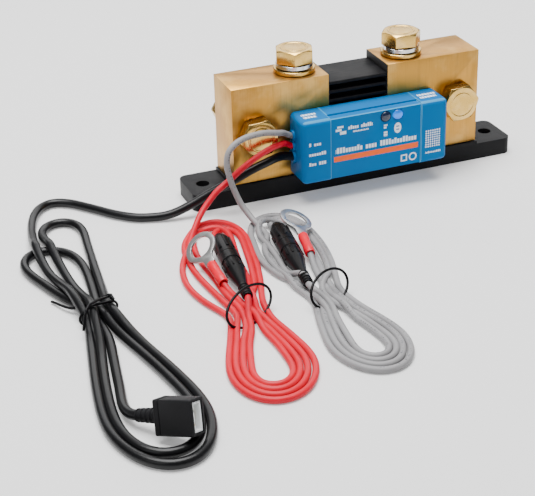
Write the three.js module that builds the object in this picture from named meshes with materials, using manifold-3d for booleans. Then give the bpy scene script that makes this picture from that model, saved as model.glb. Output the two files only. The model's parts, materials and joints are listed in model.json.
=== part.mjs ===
// Battery monitor shunt: two brass blocks joined by resistor plates on an insulating base, a sensing
// housing across the front, and three leads tied up in hanks, one for data and two fused.
// Millimetres. +X runs along the base towards the battery side, +Y to the rear, +Z up.
// The origin is the middle of the base's underside.
import * as THREE from 'three';
import { RoundedBoxGeometry } from 'three/addons/geometries/RoundedBoxGeometry.js';
import { mergeVertices } from 'three/addons/utils/BufferGeometryUtils.js';
import Module from 'manifold-3d';

const wasm = await Module();
wasm.setup();

// ---------- driving dimensions ----------
const GAP = 0.3;                 // clearance between pieces that touch on the real object

const BASE_DEPTH = 25.6;
const EAR_LENGTH = 19.7;         // base beyond the blocks' pad, each end
const EAR_HEIGHT = 8.4;
const PAD_RISE = 1.5;            // pad under the blocks stands this much above the ears
const PAD_MARGIN = 0.8;          // pad beyond each block
const BASE_CORNER = 4;
const EAR_HOLE_R = 3.25;         // for an M6 screw
const EAR_HOLE_INSET = 8.5;      // from the base's end
const BASE_SCREW_R = 2.5;        // M5
const BASE_SCREW_LENGTH = 16;
const BASE_SCREW_SPACING = 28;
const BASE_SCREW_HEAD_R = 4.2;
const BASE_SCREW_HEAD_H = 3;
const BASE_COUNTERBORE = 4.5;

const BLOCK_WIDTH = 49.3;
const BLOCK_DEPTH = 24;
const BLOCK_HEIGHT = 48;
const BLOCK_GAP = 30.4;          // between the two blocks

const PLATE_COUNT = 7;
const PLATE_THICKNESS = 1.6;
const PLATE_PITCH = 4.5;
const PLATE_SEAT = 3.5;          // how far a plate's end sits in its block
const TOP_PLATE_DROP = 4;        // block top to the first plate
const PLATE_DEPTH = 23.4;

const THREAD_R = 5;              // M10
const THREAD_PITCH = 1.5;
const HEAD_FLATS = 17;
const HEAD_HEIGHT = 6.4;
const NUT_HEIGHT = 8;
const WASHER_R = 10;
const WASHER_H = 2;
const SPRING_R = 9;
const SPRING_H = 2.5;
const BOLT_GRIP = 24;            // top bolt's shank below its washers
const TOP_BOLT_INSET = 12.8;     // from the block's inner face
const SIDE_BOLT_INSET = 11.8;    // from the block's outer face
const SIDE_BOLT_SPARE = 1.5;     // thread standing past the rear nut

const HOUSING_WIDTH = 75.8;
const HOUSING_HEIGHT = 31.8;
const HOUSING_DEPTH = 15.7;
const HOUSING_SHIFT = 2.3;       // housing's middle, towards the battery block
const HOUSING_BOTTOM = 10.8;
const HOUSING_WALL = 1.8;
const HOUSING_ROUND = 2.5;
const PANEL_LEFT = 14.4;         // end cap widths beside the recessed front panel
const PANEL_RIGHT = 14.2;
const PANEL_RECESS = 0.8;
const PANEL_WRAP = 5;            // recess carried over the top edge
const COVER_THICKNESS = 1.6;
const LENS_R = 2.5;
const LENS_SPACING = 6.4;
const LENS_DROP = 4;             // from the housing's top
const BOARD_THICKNESS = 1.6;
const SENSE_SCREW_R = 2;
const SENSE_SCREW_LENGTH = 14;
const SENSE_SCREW_INSET = 6.8;   // from the block's inner face
const SENSE_SCREW_RISE = 9;      // above the housing's underside

// leads
const DATA_D = 4.2;
const WIRE_D = 2.9;
const LEAD_FROM_BLOCK = 4.2;     // the three exits' distance in front of the blocks
const EXIT_HEIGHTS = { grey: 32.4, red: 27.3, data: 21.9 };
const GROMMET_WALL = 0.9;
const GROMMET_STANDS = 1;        // proud of the housing's end
const GROMMET_SPINE = 2.4;
const TIE_WIRE = 1.2;

// fuse holder
const HOLDER_R = 4.7;
const HOLDER_END_R = 2.4;
const HOLDER_TAIL = 10;          // narrow end of the body
const HOLDER_TAPER = 12;
const HOLDER_BODY = 36;
const HOLDER_CAP = 20;
const CAP_TAPER = 5;
const CAP_BORE = 14;
const HOLDER_BORE_R = 3.4;
const FUSE_R = 3;
const FUSE_LENGTH = 20;
const SPRING_COIL_R = 2.3;
const SPRING_WIRE = 0.7;
const SPRING_TURNS = 2.5;

// ring terminal
const EYE_R = 7.75;
const EYE_HOLE_R = 5.25;
const TONGUE_LENGTH = 12.5;      // eye centre to sleeve
const TONGUE_WIDTH = 5;
const BLANK_THICKNESS = 1;
const SLEEVE_R = 2.3;
const SLEEVE_LENGTH = 14;

// data plug
const PLUG_LENGTH = 17.2;
const PLUG_WIDTH = 13.5;
const PLUG_THICKNESS = 8.3;
const BOOT_LENGTH = 10;
const BOOT_R = 3;
const SOCKET = { width: 11, thickness: 5, depth: 8, wall: 0.8 };

// ---------- worked-out places ----------
const PAD_TOP = EAR_HEIGHT + PAD_RISE;
const BLOCK_INNER = BLOCK_GAP / 2;
const BLOCK_OUTER = BLOCK_INNER + BLOCK_WIDTH;
const BLOCK_BOTTOM = PAD_TOP + GAP;
const BLOCK_TOP = BLOCK_BOTTOM + BLOCK_HEIGHT;
const BLOCK_MIDDLE = BLOCK_BOTTOM + BLOCK_HEIGHT / 2;
const BLOCK_FRONT = -BLOCK_DEPTH / 2;
const PAD_HALF = BLOCK_OUTER + PAD_MARGIN;
const BASE_HALF = PAD_HALF + EAR_LENGTH;
const HEAD_R = HEAD_FLATS / Math.sqrt(3);
const TOP_BOLT_X = BLOCK_INNER + TOP_BOLT_INSET;
const SIDE_BOLT_X = BLOCK_OUTER - SIDE_BOLT_INSET;
const HOUSING_LEFT = HOUSING_SHIFT - HOUSING_WIDTH / 2;
const HOUSING_RIGHT = HOUSING_SHIFT + HOUSING_WIDTH / 2;
const HOUSING_TOP = HOUSING_BOTTOM + HOUSING_HEIGHT;
const HOUSING_BACK = BLOCK_FRONT - GAP;
const HOUSING_FRONT = HOUSING_BACK - HOUSING_DEPTH;
const COVER_FRONT = HOUSING_BACK - COVER_THICKNESS;
const PANEL_FACE = HOUSING_FRONT + PANEL_RECESS;
const LEAD_Y = BLOCK_FRONT - LEAD_FROM_BLOCK;
const SENSE_SCREW_X = BLOCK_INNER + SENSE_SCREW_INSET;
const SENSE_SCREW_Z = HOUSING_BOTTOM + SENSE_SCREW_RISE;
const BODY_BORE = FUSE_LENGTH / 2 + GAP;    // depth of the fuse's seat in the holder's body

// ---------- materials ----------
const finish = (color, roughness, metalness) =>
  new THREE.MeshStandardMaterial({ color, roughness, metalness });
const brass = finish(0xc9a26a, 0.38, 1);
const passivated = finish(0xc9b07a, 0.35, 1);
const steel = finish(0xd8d8d4, 0.3, 1);
const manganin = finish(0x1c1c1e, 0.7, 0.2);
const basePlastic = finish(0x26262a, 0.55, 0);
const bluePlastic = finish(0x0a7dba, 0.42, 0);
const boardGreen = finish(0x1f5a34, 0.5, 0);
const lensDark = finish(0x0b2340, 0.15, 0);
const lensLit = finish(0x2fc4ff, 0.15, 0);
const redSheath = finish(0xff4353, 0.45, 0);
const greySheath = finish(0x9fa0a4, 0.5, 0);
const blackSheath = finish(0x232427, 0.45, 0);
const sleeveRed = finish(0xf02a45, 0.35, 0);
const tinned = finish(0xdfe0dc, 0.3, 1);
const whitePlastic = finish(0xe6ebec, 0.5, 0);
const fuseGlass = finish(0xcfd8d8, 0.1, 0);

const part = new THREE.Group();
const addMesh = (name, geometry, material) => {
  const mesh = new THREE.Mesh(geometry, material);
  mesh.name = name;
  part.add(mesh);
  return mesh;
};

// ---------- joining and cutting ----------
function toManifold(geometry) {
  const bare = geometry.clone();
  bare.deleteAttribute('normal');
  bare.deleteAttribute('uv');
  const welded = mergeVertices(bare, 1e-4);
  return new wasm.Manifold(new wasm.Mesh({
    numProp: 3,
    vertProperties: new Float32Array(welded.attributes.position.array),
    triVerts: new Uint32Array(welded.index.array),
  }));
}

function toGeometry(manifold) {
  const mesh = manifold.getMesh();
  const geometry = new THREE.BufferGeometry();
  geometry.setAttribute('position', new THREE.BufferAttribute(mesh.vertProperties, 3));
  geometry.setIndex(new THREE.BufferAttribute(mesh.triVerts, 1));
  return geometry;
}

const shaped = (start, joins, cuts) => {
  let body = toManifold(start);
  for (const piece of joins) body = body.add(toManifold(piece));
  for (const piece of cuts) body = body.subtract(toManifold(piece));
  return toGeometry(body);
};

// ---------- simple shapes ----------
const block = (x0, x1, y0, y1, z0, z1) =>
  new THREE.BoxGeometry(x1 - x0, y1 - y0, z1 - z0)
    .translate((x0 + x1) / 2, (y0 + y1) / 2, (z0 + z1) / 2);

// a turned piece about +Z, from [radius, height] pairs that start and end on the axis
const turned = (profile, sides = 24) =>
  new THREE.LatheGeometry(profile.map(([r, z]) => new THREE.Vector2(r, z)), sides)
    .rotateX(Math.PI / 2);

const rod = (radius, z0, z1, sides = 24) => turned([[0, z0], [radius, z0], [radius, z1], [0, z1]], sides);

// a turned piece with a bore, from a closed [radius, height] outline
const turnedRing = (profile, sides = 24) => turned([...profile, profile[0]], sides);

const ring = (inner, outer, z0, z1, sides = 24) =>
  turnedRing([[inner, z0], [outer, z0], [outer, z1], [inner, z1]], sides);

const hexagon = (radius, z0, z1) => rod(radius, z0, z1, 6);

// turns a piece built along +Z so that +Z becomes `direction`, and moves it to `place`
function aimed(geometry, place, direction) {
  const turn = new THREE.Quaternion()
    .setFromUnitVectors(new THREE.Vector3(0, 0, 1), direction.clone().normalize());
  return geometry.applyQuaternion(turn).translate(place.x, place.y, place.z);
}

const FORWARD = new THREE.Vector3(0, -1, 0);
const REARWARD = new THREE.Vector3(0, 1, 0);

// a flat outline with arcs at its four corners
function roundedOutline(halfX, halfY, radius) {
  const outline = new THREE.Shape();
  const x = halfX - radius;
  const y = halfY - radius;
  outline.absarc(x, -y, radius, -Math.PI / 2, 0);
  outline.absarc(x, y, radius, 0, Math.PI / 2);
  outline.absarc(-x, y, radius, Math.PI / 2, Math.PI);
  outline.absarc(-x, -y, radius, Math.PI, Math.PI * 1.5);
  return outline;
}

const extruded = (outline, height, curveSegments = 6) =>
  new THREE.ExtrudeGeometry(outline, { depth: height, bevelEnabled: false, curveSegments });

// ---------- base ----------
function makeBase() {
  const earHoleX = BASE_HALF - EAR_HOLE_INSET;
  const pad = block(-PAD_HALF, PAD_HALF, -BASE_DEPTH / 2, BASE_DEPTH / 2, EAR_HEIGHT / 2, PAD_TOP);
  const cuts = [];
  for (const side of [-1, 1]) {
    cuts.push(rod(EAR_HOLE_R, -1, PAD_TOP).translate(side * earHoleX, 0, 0));
    for (const x of baseScrewPlaces(side)) {
      cuts.push(rod(BASE_SCREW_R + GAP, -1, PAD_TOP + 1).translate(x, 0, 0));
      cuts.push(rod(BASE_SCREW_HEAD_R + GAP, -1, BASE_COUNTERBORE).translate(x, 0, 0));
    }
  }
  const plate = extruded(roundedOutline(BASE_HALF, BASE_DEPTH / 2, BASE_CORNER), EAR_HEIGHT);
  addMesh('base', shaped(plate, [pad], cuts), basePlastic);
}

const baseScrewPlaces = (side) => [-0.5, 0.5].map(
  (step) => side * (BLOCK_INNER + BLOCK_WIDTH / 2) + step * BASE_SCREW_SPACING);

function makeBaseScrews() {
  for (const [side, name] of [[-1, 'load'], [1, 'battery']]) {
    const places = baseScrewPlaces(side);
    places.forEach((x, index) => {
      const top = BASE_COUNTERBORE - GAP;
      const socket = hexagon(2, top - BASE_SCREW_HEAD_H - 1, top - BASE_SCREW_HEAD_H / 2);
      const screw = turned([
        [0, top - BASE_SCREW_HEAD_H], [BASE_SCREW_HEAD_R, top - BASE_SCREW_HEAD_H],
        [BASE_SCREW_HEAD_R, top], [BASE_SCREW_R, top],
        [BASE_SCREW_R, top + BASE_SCREW_LENGTH], [0, top + BASE_SCREW_LENGTH],
      ], 16);
      const geometry = shaped(screw, [], [socket]);
      addMesh(`${name}_base_screw_${index + 1}`, geometry.translate(x, 0, 0), steel);
    });
  }
}

// ---------- blocks and resistor plates ----------
const plateTop = (index) => BLOCK_TOP - TOP_PLATE_DROP - index * PLATE_PITCH;

function makeBlock(side, name) {
  const inner = side * BLOCK_INNER;
  const outer = side * BLOCK_OUTER;
  const body = block(Math.min(inner, outer), Math.max(inner, outer),
    BLOCK_FRONT, -BLOCK_FRONT, BLOCK_BOTTOM, BLOCK_TOP);
  const cuts = [];
  for (let index = 0; index < PLATE_COUNT; index += 1) {
    const top = plateTop(index);
    const seat = side * (BLOCK_INNER + PLATE_SEAT + GAP);
    const mouth = side * (BLOCK_INNER - 1);
    cuts.push(block(Math.min(seat, mouth), Math.max(seat, mouth),
      BLOCK_FRONT - 1, -BLOCK_FRONT + 1, top - PLATE_THICKNESS - GAP, top + GAP));
  }
  const bore = THREAD_R + GAP;
  cuts.push(rod(bore, BLOCK_TOP - BOLT_GRIP - 3 * GAP, BLOCK_TOP + 1).translate(side * TOP_BOLT_X, 0, 0));
  cuts.push(aimed(rod(bore, -BLOCK_DEPTH, BLOCK_DEPTH),
    new THREE.Vector3(side * SIDE_BOLT_X, 0, BLOCK_MIDDLE), REARWARD));
  for (const x of baseScrewPlaces(side)) {
    const depth = BASE_COUNTERBORE + BASE_SCREW_LENGTH + GAP;
    cuts.push(rod(BASE_SCREW_R + GAP, 0, depth, 16).translate(x, 0, 0));
  }
  cuts.push(aimed(rod(SENSE_SCREW_R + GAP, 0, SENSE_SCREW_LENGTH, 12),
    new THREE.Vector3(side * SENSE_SCREW_X, BLOCK_FRONT - 1, SENSE_SCREW_Z), REARWARD));
  addMesh(name, shaped(body, [], cuts), brass);
}

function makePlates() {
  const half = BLOCK_INNER + PLATE_SEAT;
  for (let index = 0; index < PLATE_COUNT; index += 1) {
    const top = plateTop(index);
    addMesh(`resistor_plate_${index + 1}`,
      block(-half, half, -PLATE_DEPTH / 2, PLATE_DEPTH / 2, top - PLATE_THICKNESS, top), manganin);
  }
}

// ---------- bolts, washers and nuts, built along +Z with the clamped face at 0 ----------
const flatWasher = () => ring(THREAD_R + GAP, WASHER_R, 0, WASHER_H);

// split ring with its ends slightly apart
function springWasher() {
  const split = block(0, SPRING_R + 1, -0.5, 0.5, -1, SPRING_H + 1).rotateX(0.35)
    .translate(0, SPRING_H * 0.18, 0);
  return shaped(ring(THREAD_R + GAP, SPRING_R, 0, SPRING_H), [], [split]);
}

// hexagon head with its outer corners turned off
function hexHead(height) {
  const chamfer = HEAD_R - HEAD_FLATS / 2;
  const turning = turned([[0, 0], [HEAD_R + 0.1, 0], [HEAD_R + 0.1, height - chamfer * 0.8],
    [HEAD_FLATS / 2 - 0.2, height], [0, height]], 24);
  return toManifold(hexagon(HEAD_R, 0, height)).intersect(toManifold(turning));
}

function hexBolt(shank) {
  return toGeometry(hexHead(HEAD_HEIGHT).add(toManifold(rod(THREAD_R, -shank, HEAD_HEIGHT / 2))));
}

function hexNut() {
  return toGeometry(hexHead(NUT_HEIGHT).subtract(toManifold(rod(THREAD_R + GAP, -1, NUT_HEIGHT + 1))));
}

function makeTopFasteners(side, name) {
  const x = side * TOP_BOLT_X;
  const flat = BLOCK_TOP + GAP;
  const spring = flat + WASHER_H + GAP;
  const head = spring + SPRING_H + GAP;
  const turn = side * 0.35;
  addMesh(`${name}_top_flat_washer`, flatWasher().translate(x, 0, flat), passivated);
  addMesh(`${name}_top_spring_washer`, springWasher().rotateZ(-2.2).translate(x, 0, spring), steel);
  const shank = head - BLOCK_TOP + BOLT_GRIP;
  addMesh(`${name}_top_bolt`, hexBolt(shank).rotateZ(turn).translate(x, 0, head), passivated);
}

function makeSideFasteners(side, name) {
  const x = side * SIDE_BOLT_X;
  const front = new THREE.Vector3(x, BLOCK_FRONT - GAP, BLOCK_MIDDLE);
  const flatY = -BLOCK_FRONT + GAP;
  const springY = flatY + WASHER_H + GAP;
  const nutY = springY + SPRING_H + GAP;
  const shank = nutY + NUT_HEIGHT + SIDE_BOLT_SPARE - front.y;
  const at = (y) => new THREE.Vector3(x, y, BLOCK_MIDDLE);
  addMesh(`${name}_side_bolt`, aimed(hexBolt(shank).rotateZ(0.1), front, FORWARD), passivated);
  addMesh(`${name}_side_flat_washer`, aimed(flatWasher(), at(flatY), REARWARD), passivated);
  addMesh(`${name}_side_spring_washer`, aimed(springWasher(), at(springY), REARWARD), steel);
  addMesh(`${name}_side_nut`, aimed(hexNut(), at(nutY), REARWARD), passivated);
}

// ---------- sensing housing ----------
const leadExits = [
  { name: 'grey', z: EXIT_HEIGHTS.grey, radius: WIRE_D / 2 },
  { name: 'red', z: EXIT_HEIGHTS.red, radius: WIRE_D / 2 },
  { name: 'data', z: EXIT_HEIGHTS.data, radius: DATA_D / 2 },
];

function makeHousing() {
  // the rounded rear edges are cut off at the rim
  const trim = HOUSING_ROUND;
  const shell = new RoundedBoxGeometry(
    HOUSING_WIDTH, HOUSING_DEPTH + trim, HOUSING_HEIGHT, 3, HOUSING_ROUND)
    .translate(HOUSING_SHIFT, (HOUSING_FRONT + HOUSING_BACK + trim) / 2, HOUSING_BOTTOM + HOUSING_HEIGHT / 2);
  const left = HOUSING_LEFT + HOUSING_WALL;
  const right = HOUSING_RIGHT - HOUSING_WALL;
  const low = HOUSING_BOTTOM + HOUSING_WALL;
  const high = HOUSING_TOP - HOUSING_WALL;
  const panelLeft = HOUSING_LEFT + PANEL_LEFT;
  const panelRight = HOUSING_RIGHT - PANEL_RIGHT;
  const cavityFront = PANEL_FACE + HOUSING_WALL;
  const cuts = [
    block(HOUSING_LEFT - 1, HOUSING_RIGHT + 1, HOUSING_BACK, HOUSING_BACK + 2 * trim,
      HOUSING_BOTTOM - 1, HOUSING_TOP + 1),
    block(left, right, cavityFront, HOUSING_BACK + 1, low, high),
    block(panelLeft, panelRight, HOUSING_FRONT - 1, PANEL_FACE, HOUSING_BOTTOM - 1, HOUSING_TOP + 1),
    block(panelLeft, panelRight, HOUSING_FRONT - 1, PANEL_FACE + PANEL_WRAP,
      HOUSING_TOP - PANEL_RECESS, HOUSING_TOP + 1),
    block(panelLeft, panelRight, HOUSING_FRONT - 1, HOUSING_BACK + 1,
      HOUSING_BOTTOM - 1, HOUSING_BOTTOM + PANEL_RECESS),
  ];
  for (const { x } of lenses) {
    cuts.push(aimed(rod(LENS_R + GAP, -2, HOUSING_WALL + 2, 16),
      new THREE.Vector3(x, PANEL_FACE, LENS_Z), REARWARD));
  }
  cuts.push(...grommetBlank(GAP, 1, HOUSING_WALL + 1));
  addMesh('housing_shell', shaped(shell, [], cuts), bluePlastic);

  const screwHoles = [-1, 1].map((side) => aimed(rod(SENSE_SCREW_R + GAP, -3, 3, 12),
    new THREE.Vector3(side * SENSE_SCREW_X, HOUSING_BACK, SENSE_SCREW_Z), REARWARD));
  const cover = block(left + GAP, right - GAP, COVER_FRONT, HOUSING_BACK, low + GAP, high - GAP);
  addMesh('housing_back_cover', shaped(cover, [], screwHoles), bluePlastic);

  const boardFront = COVER_FRONT - GAP - 2 * BOARD_THICKNESS;
  const boardLeft = left + 6;
  const boardRight = right - 1;
  const board = block(boardLeft, boardRight, boardFront, boardFront + BOARD_THICKNESS, low + 1, high - 1);
  const onBoard = (x, width, height, stands) =>
    block(x, x + width, boardFront - stands, boardFront + 0.5, low + 4, low + 4 + height);
  const parts = [
    onBoard(HOUSING_SHIFT - 10, 14, 12, 2.6),
    onBoard(HOUSING_SHIFT + 12, 8, 8, 3.2),
    onBoard(boardRight - 10, 6, 5, 4.5),
    onBoard(boardLeft + 2, 5, 4, 4.5),
  ];
  const clear = [-1, 1].map((side) => aimed(rod(SENSE_SCREW_R + 2 + 2 * GAP, -9, 9, 16),
    new THREE.Vector3(side * SENSE_SCREW_X, boardFront, SENSE_SCREW_Z), REARWARD));
  addMesh('circuit_board', shaped(board, parts, clear), boardGreen);

  for (const [side, name] of [[-1, 'load'], [1, 'battery']]) {
    const head = turned([[0, -2.2], [SENSE_SCREW_R + 1.6, -2.2], [SENSE_SCREW_R + 2, -0.4],
      [SENSE_SCREW_R + 2, 0], [SENSE_SCREW_R, 0], [SENSE_SCREW_R, SENSE_SCREW_LENGTH - 2],
      [0, SENSE_SCREW_LENGTH - 2]], 16);
    const slot = block(-0.5, 0.5, -SENSE_SCREW_R - 3, SENSE_SCREW_R + 3, -3, -1.2);
    addMesh(`${name}_sense_screw`, aimed(shaped(head, [], [slot]),
      new THREE.Vector3(side * SENSE_SCREW_X, COVER_FRONT - GAP, SENSE_SCREW_Z), REARWARD), steel);
  }
}

const LENS_Z = HOUSING_TOP - LENS_DROP;
const lenses = [
  { name: 'status_lens', x: HOUSING_SHIFT + 5, material: lensDark },
  { name: 'radio_lens', x: HOUSING_SHIFT + 5 + LENS_SPACING, material: lensLit },
];

function makeLenses() {
  const dome = 1.1;
  for (const { name, x, material } of lenses) {
    const lens = turned([[0, -HOUSING_WALL - 1], [LENS_R, -HOUSING_WALL - 1], [LENS_R, 0],
      [LENS_R * 0.8, dome * 0.6], [LENS_R * 0.45, dome * 0.93], [0, dome]], 16);
    addMesh(name, aimed(lens, new THREE.Vector3(x, PANEL_FACE, LENS_Z), FORWARD), material);
  }
}

// one collar round each lead and a spine that joins them, from `outside` the wall to `inside` it
function grommetBlank(grow, outside, inside) {
  const collars = leadExits.map(({ z, radius }) => rod(radius + GAP + GROMMET_WALL + grow, -inside, outside, 16)
    .rotateY(-Math.PI / 2).translate(HOUSING_LEFT, LEAD_Y, z));
  const half = GROMMET_SPINE / 2 + grow;
  const spine = block(HOUSING_LEFT - outside, HOUSING_LEFT + inside, LEAD_Y - half, LEAD_Y + half,
    EXIT_HEIGHTS.data, EXIT_HEIGHTS.grey);
  return [...collars, spine];
}

function makeGrommet() {
  const [first, ...others] = grommetBlank(0, GROMMET_STANDS, HOUSING_WALL);
  const bores = leadExits.map(({ z, radius }) => rod(radius + GAP, -HOUSING_WALL - 1, GROMMET_STANDS + 1, 16)
    .rotateY(-Math.PI / 2).translate(HOUSING_LEFT, LEAD_Y, z));
  addMesh('lead_grommet', shaped(first, others, bores), bluePlastic);
}

// ---------- leads ----------
const EXIT_X = HOUSING_LEFT - GROMMET_STANDS - 2 * GAP;

function tube(points, diameter, steps, sides = 8) {
  const path = new THREE.CatmullRomCurve3(points.map(([x, y, z]) => new THREE.Vector3(x, y, z)), false,
    'centripetal');
  const section = new THREE.Shape();
  for (let corner = 0; corner < sides; corner += 1) {
    const angle = (corner + 0.5) * 2 * Math.PI / sides;
    const x = Math.cos(angle) * diameter / 2;
    const y = Math.sin(angle) * diameter / 2;
    if (corner === 0) section.moveTo(x, y);
    else section.lineTo(x, y);
  }
  return new THREE.ExtrudeGeometry(section, { steps, bevelEnabled: false, extrudePath: path });
}

// the room that a lead takes, carried a little past its end
function routeClearance(route, diameter, steps) {
  const end = new THREE.Vector3(...route.at(-1));
  const past = end.clone().sub(new THREE.Vector3(...route.at(-2))).setLength(2 * GAP).add(end);
  return tube([...route, past.toArray()], diameter + 2 * GAP, steps);
}

// routes from each exit to its hank
const dataRoute = [
  [EXIT_X, LEAD_Y, EXIT_HEIGHTS.data], [-41, -16.6, 23.1], [-46.3, -18.8, 23.5], [-51.5, -20.9, 23.2],
  [-56.2, -21.1, 21.9], [-60.8, -20.6, 20], [-65.6, -19.6, 17.4], [-71.2, -17.9, 14.2], [-76.8, -16.6, 11.4],
  [-81.2, -16.2, 9.4], [-85.6, -16, 7.4], [-90.2, -15.9, 5.6], [-94.8, -15.6, 4], [-99.2, -15, 2.9],
  [-103.8, -13.6, 2.3], [-108.2, -12.2, 2.2], [-112.6, -10.4, 2.2], [-117.5, -6.6, 2.2],
  [-122.6, -1.2, 2.2], [-127.4, 5.2, 2.2], [-132.4, 11.6, 2.2], [-138.6, 18.4, 2.2], [-145.4, 21.6, 2.2],
  [-151.4, 19.4, 2.2], [-156.2, 13.2, 2.2], [-159.4, 5.2, 2.2],
];
const redRoute = [
  [EXIT_X, LEAD_Y, EXIT_HEIGHTS.red], [-40.2, -17.2, 29.6], [-43.8, -20.9, 31.2], [-48.5, -22.6, 31.2],
  [-52.8, -23.2, 30], [-57, -23.6, 28.2], [-61.2, -24, 26.1], [-65.4, -24.2, 23.6], [-69.6, -24.4, 20.6],
  [-73.8, -24.8, 17.9], [-78.2, -25.6, 15.4], [-82, -26.8, 12.4], [-86.4, -29, 9.1], [-90, -32.4, 6.7],
  [-93.6, -37, 4.6],
];
const greyRoute = [
  [EXIT_X, LEAD_Y, EXIT_HEIGHTS.grey], [-40.8, -17.6, 35.1], [-44.4, -20.9, 37], [-48, -22.8, 38.4],
  [-52.6, -23.6, 39.5], [-57.8, -24, 39.6], [-63, -24.4, 39.1], [-67.2, -25.2, 37.9], [-70.5, -26, 36],
  [-72.4, -26.6, 33.4], [-73.2, -27.2, 30.1], [-73.2, -27.9, 26.4], [-72.6, -28.8, 22.6],
  [-71.8, -29.8, 18.8], [-70.6, -31.2, 14.7], [-69.4, -33, 11.1], [-67.8, -35.8, 7.9],
  [-66.2, -40, 5.2], [-64.8, -45.6, 3.4], [-64, -52, 2.2],
];

// A hank's outline from above: two lobes that meet at the tie. Each lobe widens smoothly from the tie
// and ends in half an ellipse. `left` and `right` are its half-widths either side of its own axis.
function lobeEdge(lobe, waist, side) {
  const tie = new THREE.Vector2(...lobe.tie);
  const axis = new THREE.Vector2(...lobe.end).sub(tie);
  const length = axis.length();
  axis.normalize();
  const across = new THREE.Vector2(axis.y, -axis.x);
  const half = side > 0 ? lobe.right : lobe.left;
  const neck = length - lobe.round;
  const points = [];
  const at = (along, out) => points.push(tie.clone().addScaledVector(axis, along)
    .addScaledVector(across, side * out));
  for (let step = 0; step <= 5; step += 1) {
    const t = step / 5;
    at(neck * t, waist / 2 + (half - waist / 2) * t * t * (3 - 2 * t));
  }
  for (let step = 1; step <= 6; step += 1) {
    const angle = step / 6 * Math.PI / 2;
    at(neck + lobe.round * Math.sin(angle), half * Math.cos(angle));
  }
  return points;
}

function hankOutline(upper, lower, waist) {
  const right = lobeEdge(upper, waist, 1);
  const left = lobeEdge(upper, waist, -1).reverse().slice(1);
  const lowerLeft = lobeEdge(lower, waist, 1).slice(1);
  const lowerRight = lobeEdge(lower, waist, -1).reverse().slice(1, -1);
  return new THREE.Shape([...right, ...left, ...lowerLeft, ...lowerRight]);
}

const hankSolid = ({ upper, lower, waist, height }) =>
  extruded(hankOutline(upper, lower, waist), height - GAP / 2).translate(0, 0, GAP / 2);

// twist tie: a wire loop round the hank's waist, in a plane that leans
function tieLoop({ centre, across, rise }, grow = 0) {
  const middle = new THREE.Vector3(...centre);
  const u = new THREE.Vector3(...across);
  const v = new THREE.Vector3(...rise);
  const points = [];
  for (let step = 0; step < 20; step += 1) {
    const angle = step / 20 * Math.PI * 2;
    points.push(middle.clone().addScaledVector(u, Math.cos(angle)).addScaledVector(v, Math.sin(angle)));
  }
  const path = new THREE.CatmullRomCurve3(points, true, 'centripetal');
  return toGeometry(toManifold(new THREE.TubeGeometry(path, 32, TIE_WIRE / 2 + grow, 8, true)));
}

// in-line fuse holder along +Z, in two bayonet halves with a glass fuse and a contact spring inside
const holderBody = () => turned([[0, 0], [HOLDER_END_R, 0], [HOLDER_END_R, HOLDER_TAIL],
  [HOLDER_R, HOLDER_TAIL + HOLDER_TAPER], [HOLDER_R, HOLDER_BODY], [HOLDER_BORE_R, HOLDER_BODY],
  [HOLDER_BORE_R, HOLDER_BODY - BODY_BORE], [0, HOLDER_BODY - BODY_BORE]], 16);

const holderCap = () => turned([[0, CAP_BORE], [HOLDER_BORE_R, CAP_BORE], [HOLDER_BORE_R, 0],
  [HOLDER_R, 0], [HOLDER_R, HOLDER_CAP - CAP_TAPER], [HOLDER_END_R, HOLDER_CAP], [0, HOLDER_CAP]], 16);

// the closed holder's outside, `grow` larger all round
function holderEnvelope(grow) {
  const whole = HOLDER_BODY + GAP + HOLDER_CAP;
  return turned([[0, -grow], [HOLDER_END_R + grow, -grow], [HOLDER_END_R + grow, HOLDER_TAIL],
    [HOLDER_R + grow, HOLDER_TAIL + HOLDER_TAPER - grow], [HOLDER_R + grow, whole - CAP_TAPER + grow],
    [HOLDER_END_R + grow, whole + grow], [0, whole + grow]], 16);
}

function contactSpring() {
  const points = [];
  const start = FUSE_LENGTH / 2 + SPRING_WIRE / 2 + GAP;
  const rise = CAP_BORE - FUSE_LENGTH / 2 - SPRING_WIRE - 2 * GAP;
  const steps = SPRING_TURNS * 8;
  for (let step = 0; step <= steps; step += 1) {
    const angle = step / 8 * Math.PI * 2;
    points.push([SPRING_COIL_R * Math.cos(angle), SPRING_COIL_R * Math.sin(angle), start + rise * step / steps]);
  }
  return tube(points, SPRING_WIRE, steps * 2, 6);
}

const holderPlace = ({ tail, head }) => ({
  start: new THREE.Vector3(...tail),
  direction: new THREE.Vector3(...head).sub(new THREE.Vector3(...tail)).normalize(),
});

function makeHolder(name, holder) {
  const { start, direction } = holderPlace(holder);
  const along = (distance) => start.clone().addScaledVector(direction, distance);
  const middle = HOLDER_BODY + GAP / 2;
  addMesh(`${name}_fuse_body`, aimed(holderBody(), start, direction), blackSheath);
  addMesh(`${name}_fuse_cap`, aimed(holderCap(), along(HOLDER_BODY + GAP), direction), blackSheath);
  addMesh(`${name}_fuse`, aimed(rod(FUSE_R, -FUSE_LENGTH / 2, FUSE_LENGTH / 2, 12),
    along(middle), direction), fuseGlass);
  addMesh(`${name}_fuse_spring`, aimed(contactSpring(), along(middle), direction), steel);
}

function holderClearance(holder) {
  const { start, direction } = holderPlace(holder);
  return aimed(holderEnvelope(GAP), start, direction);
}

// ring terminal: eye and tongue in one flat blank, with a crimped barrel inside a sleeve
// terminal's own frame: the eye's centre at the origin, +Y towards the eye's far side, +Z its normal
function terminalFrame({ eye, normal, wireward }) {
  const z = new THREE.Vector3(...normal).normalize();
  const y = new THREE.Vector3(...wireward).negate();
  y.addScaledVector(z, -y.dot(z)).normalize();
  const x = new THREE.Vector3().crossVectors(y, z);
  return new THREE.Matrix4().makeBasis(x, y, z).setPosition(...eye);
}

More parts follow.
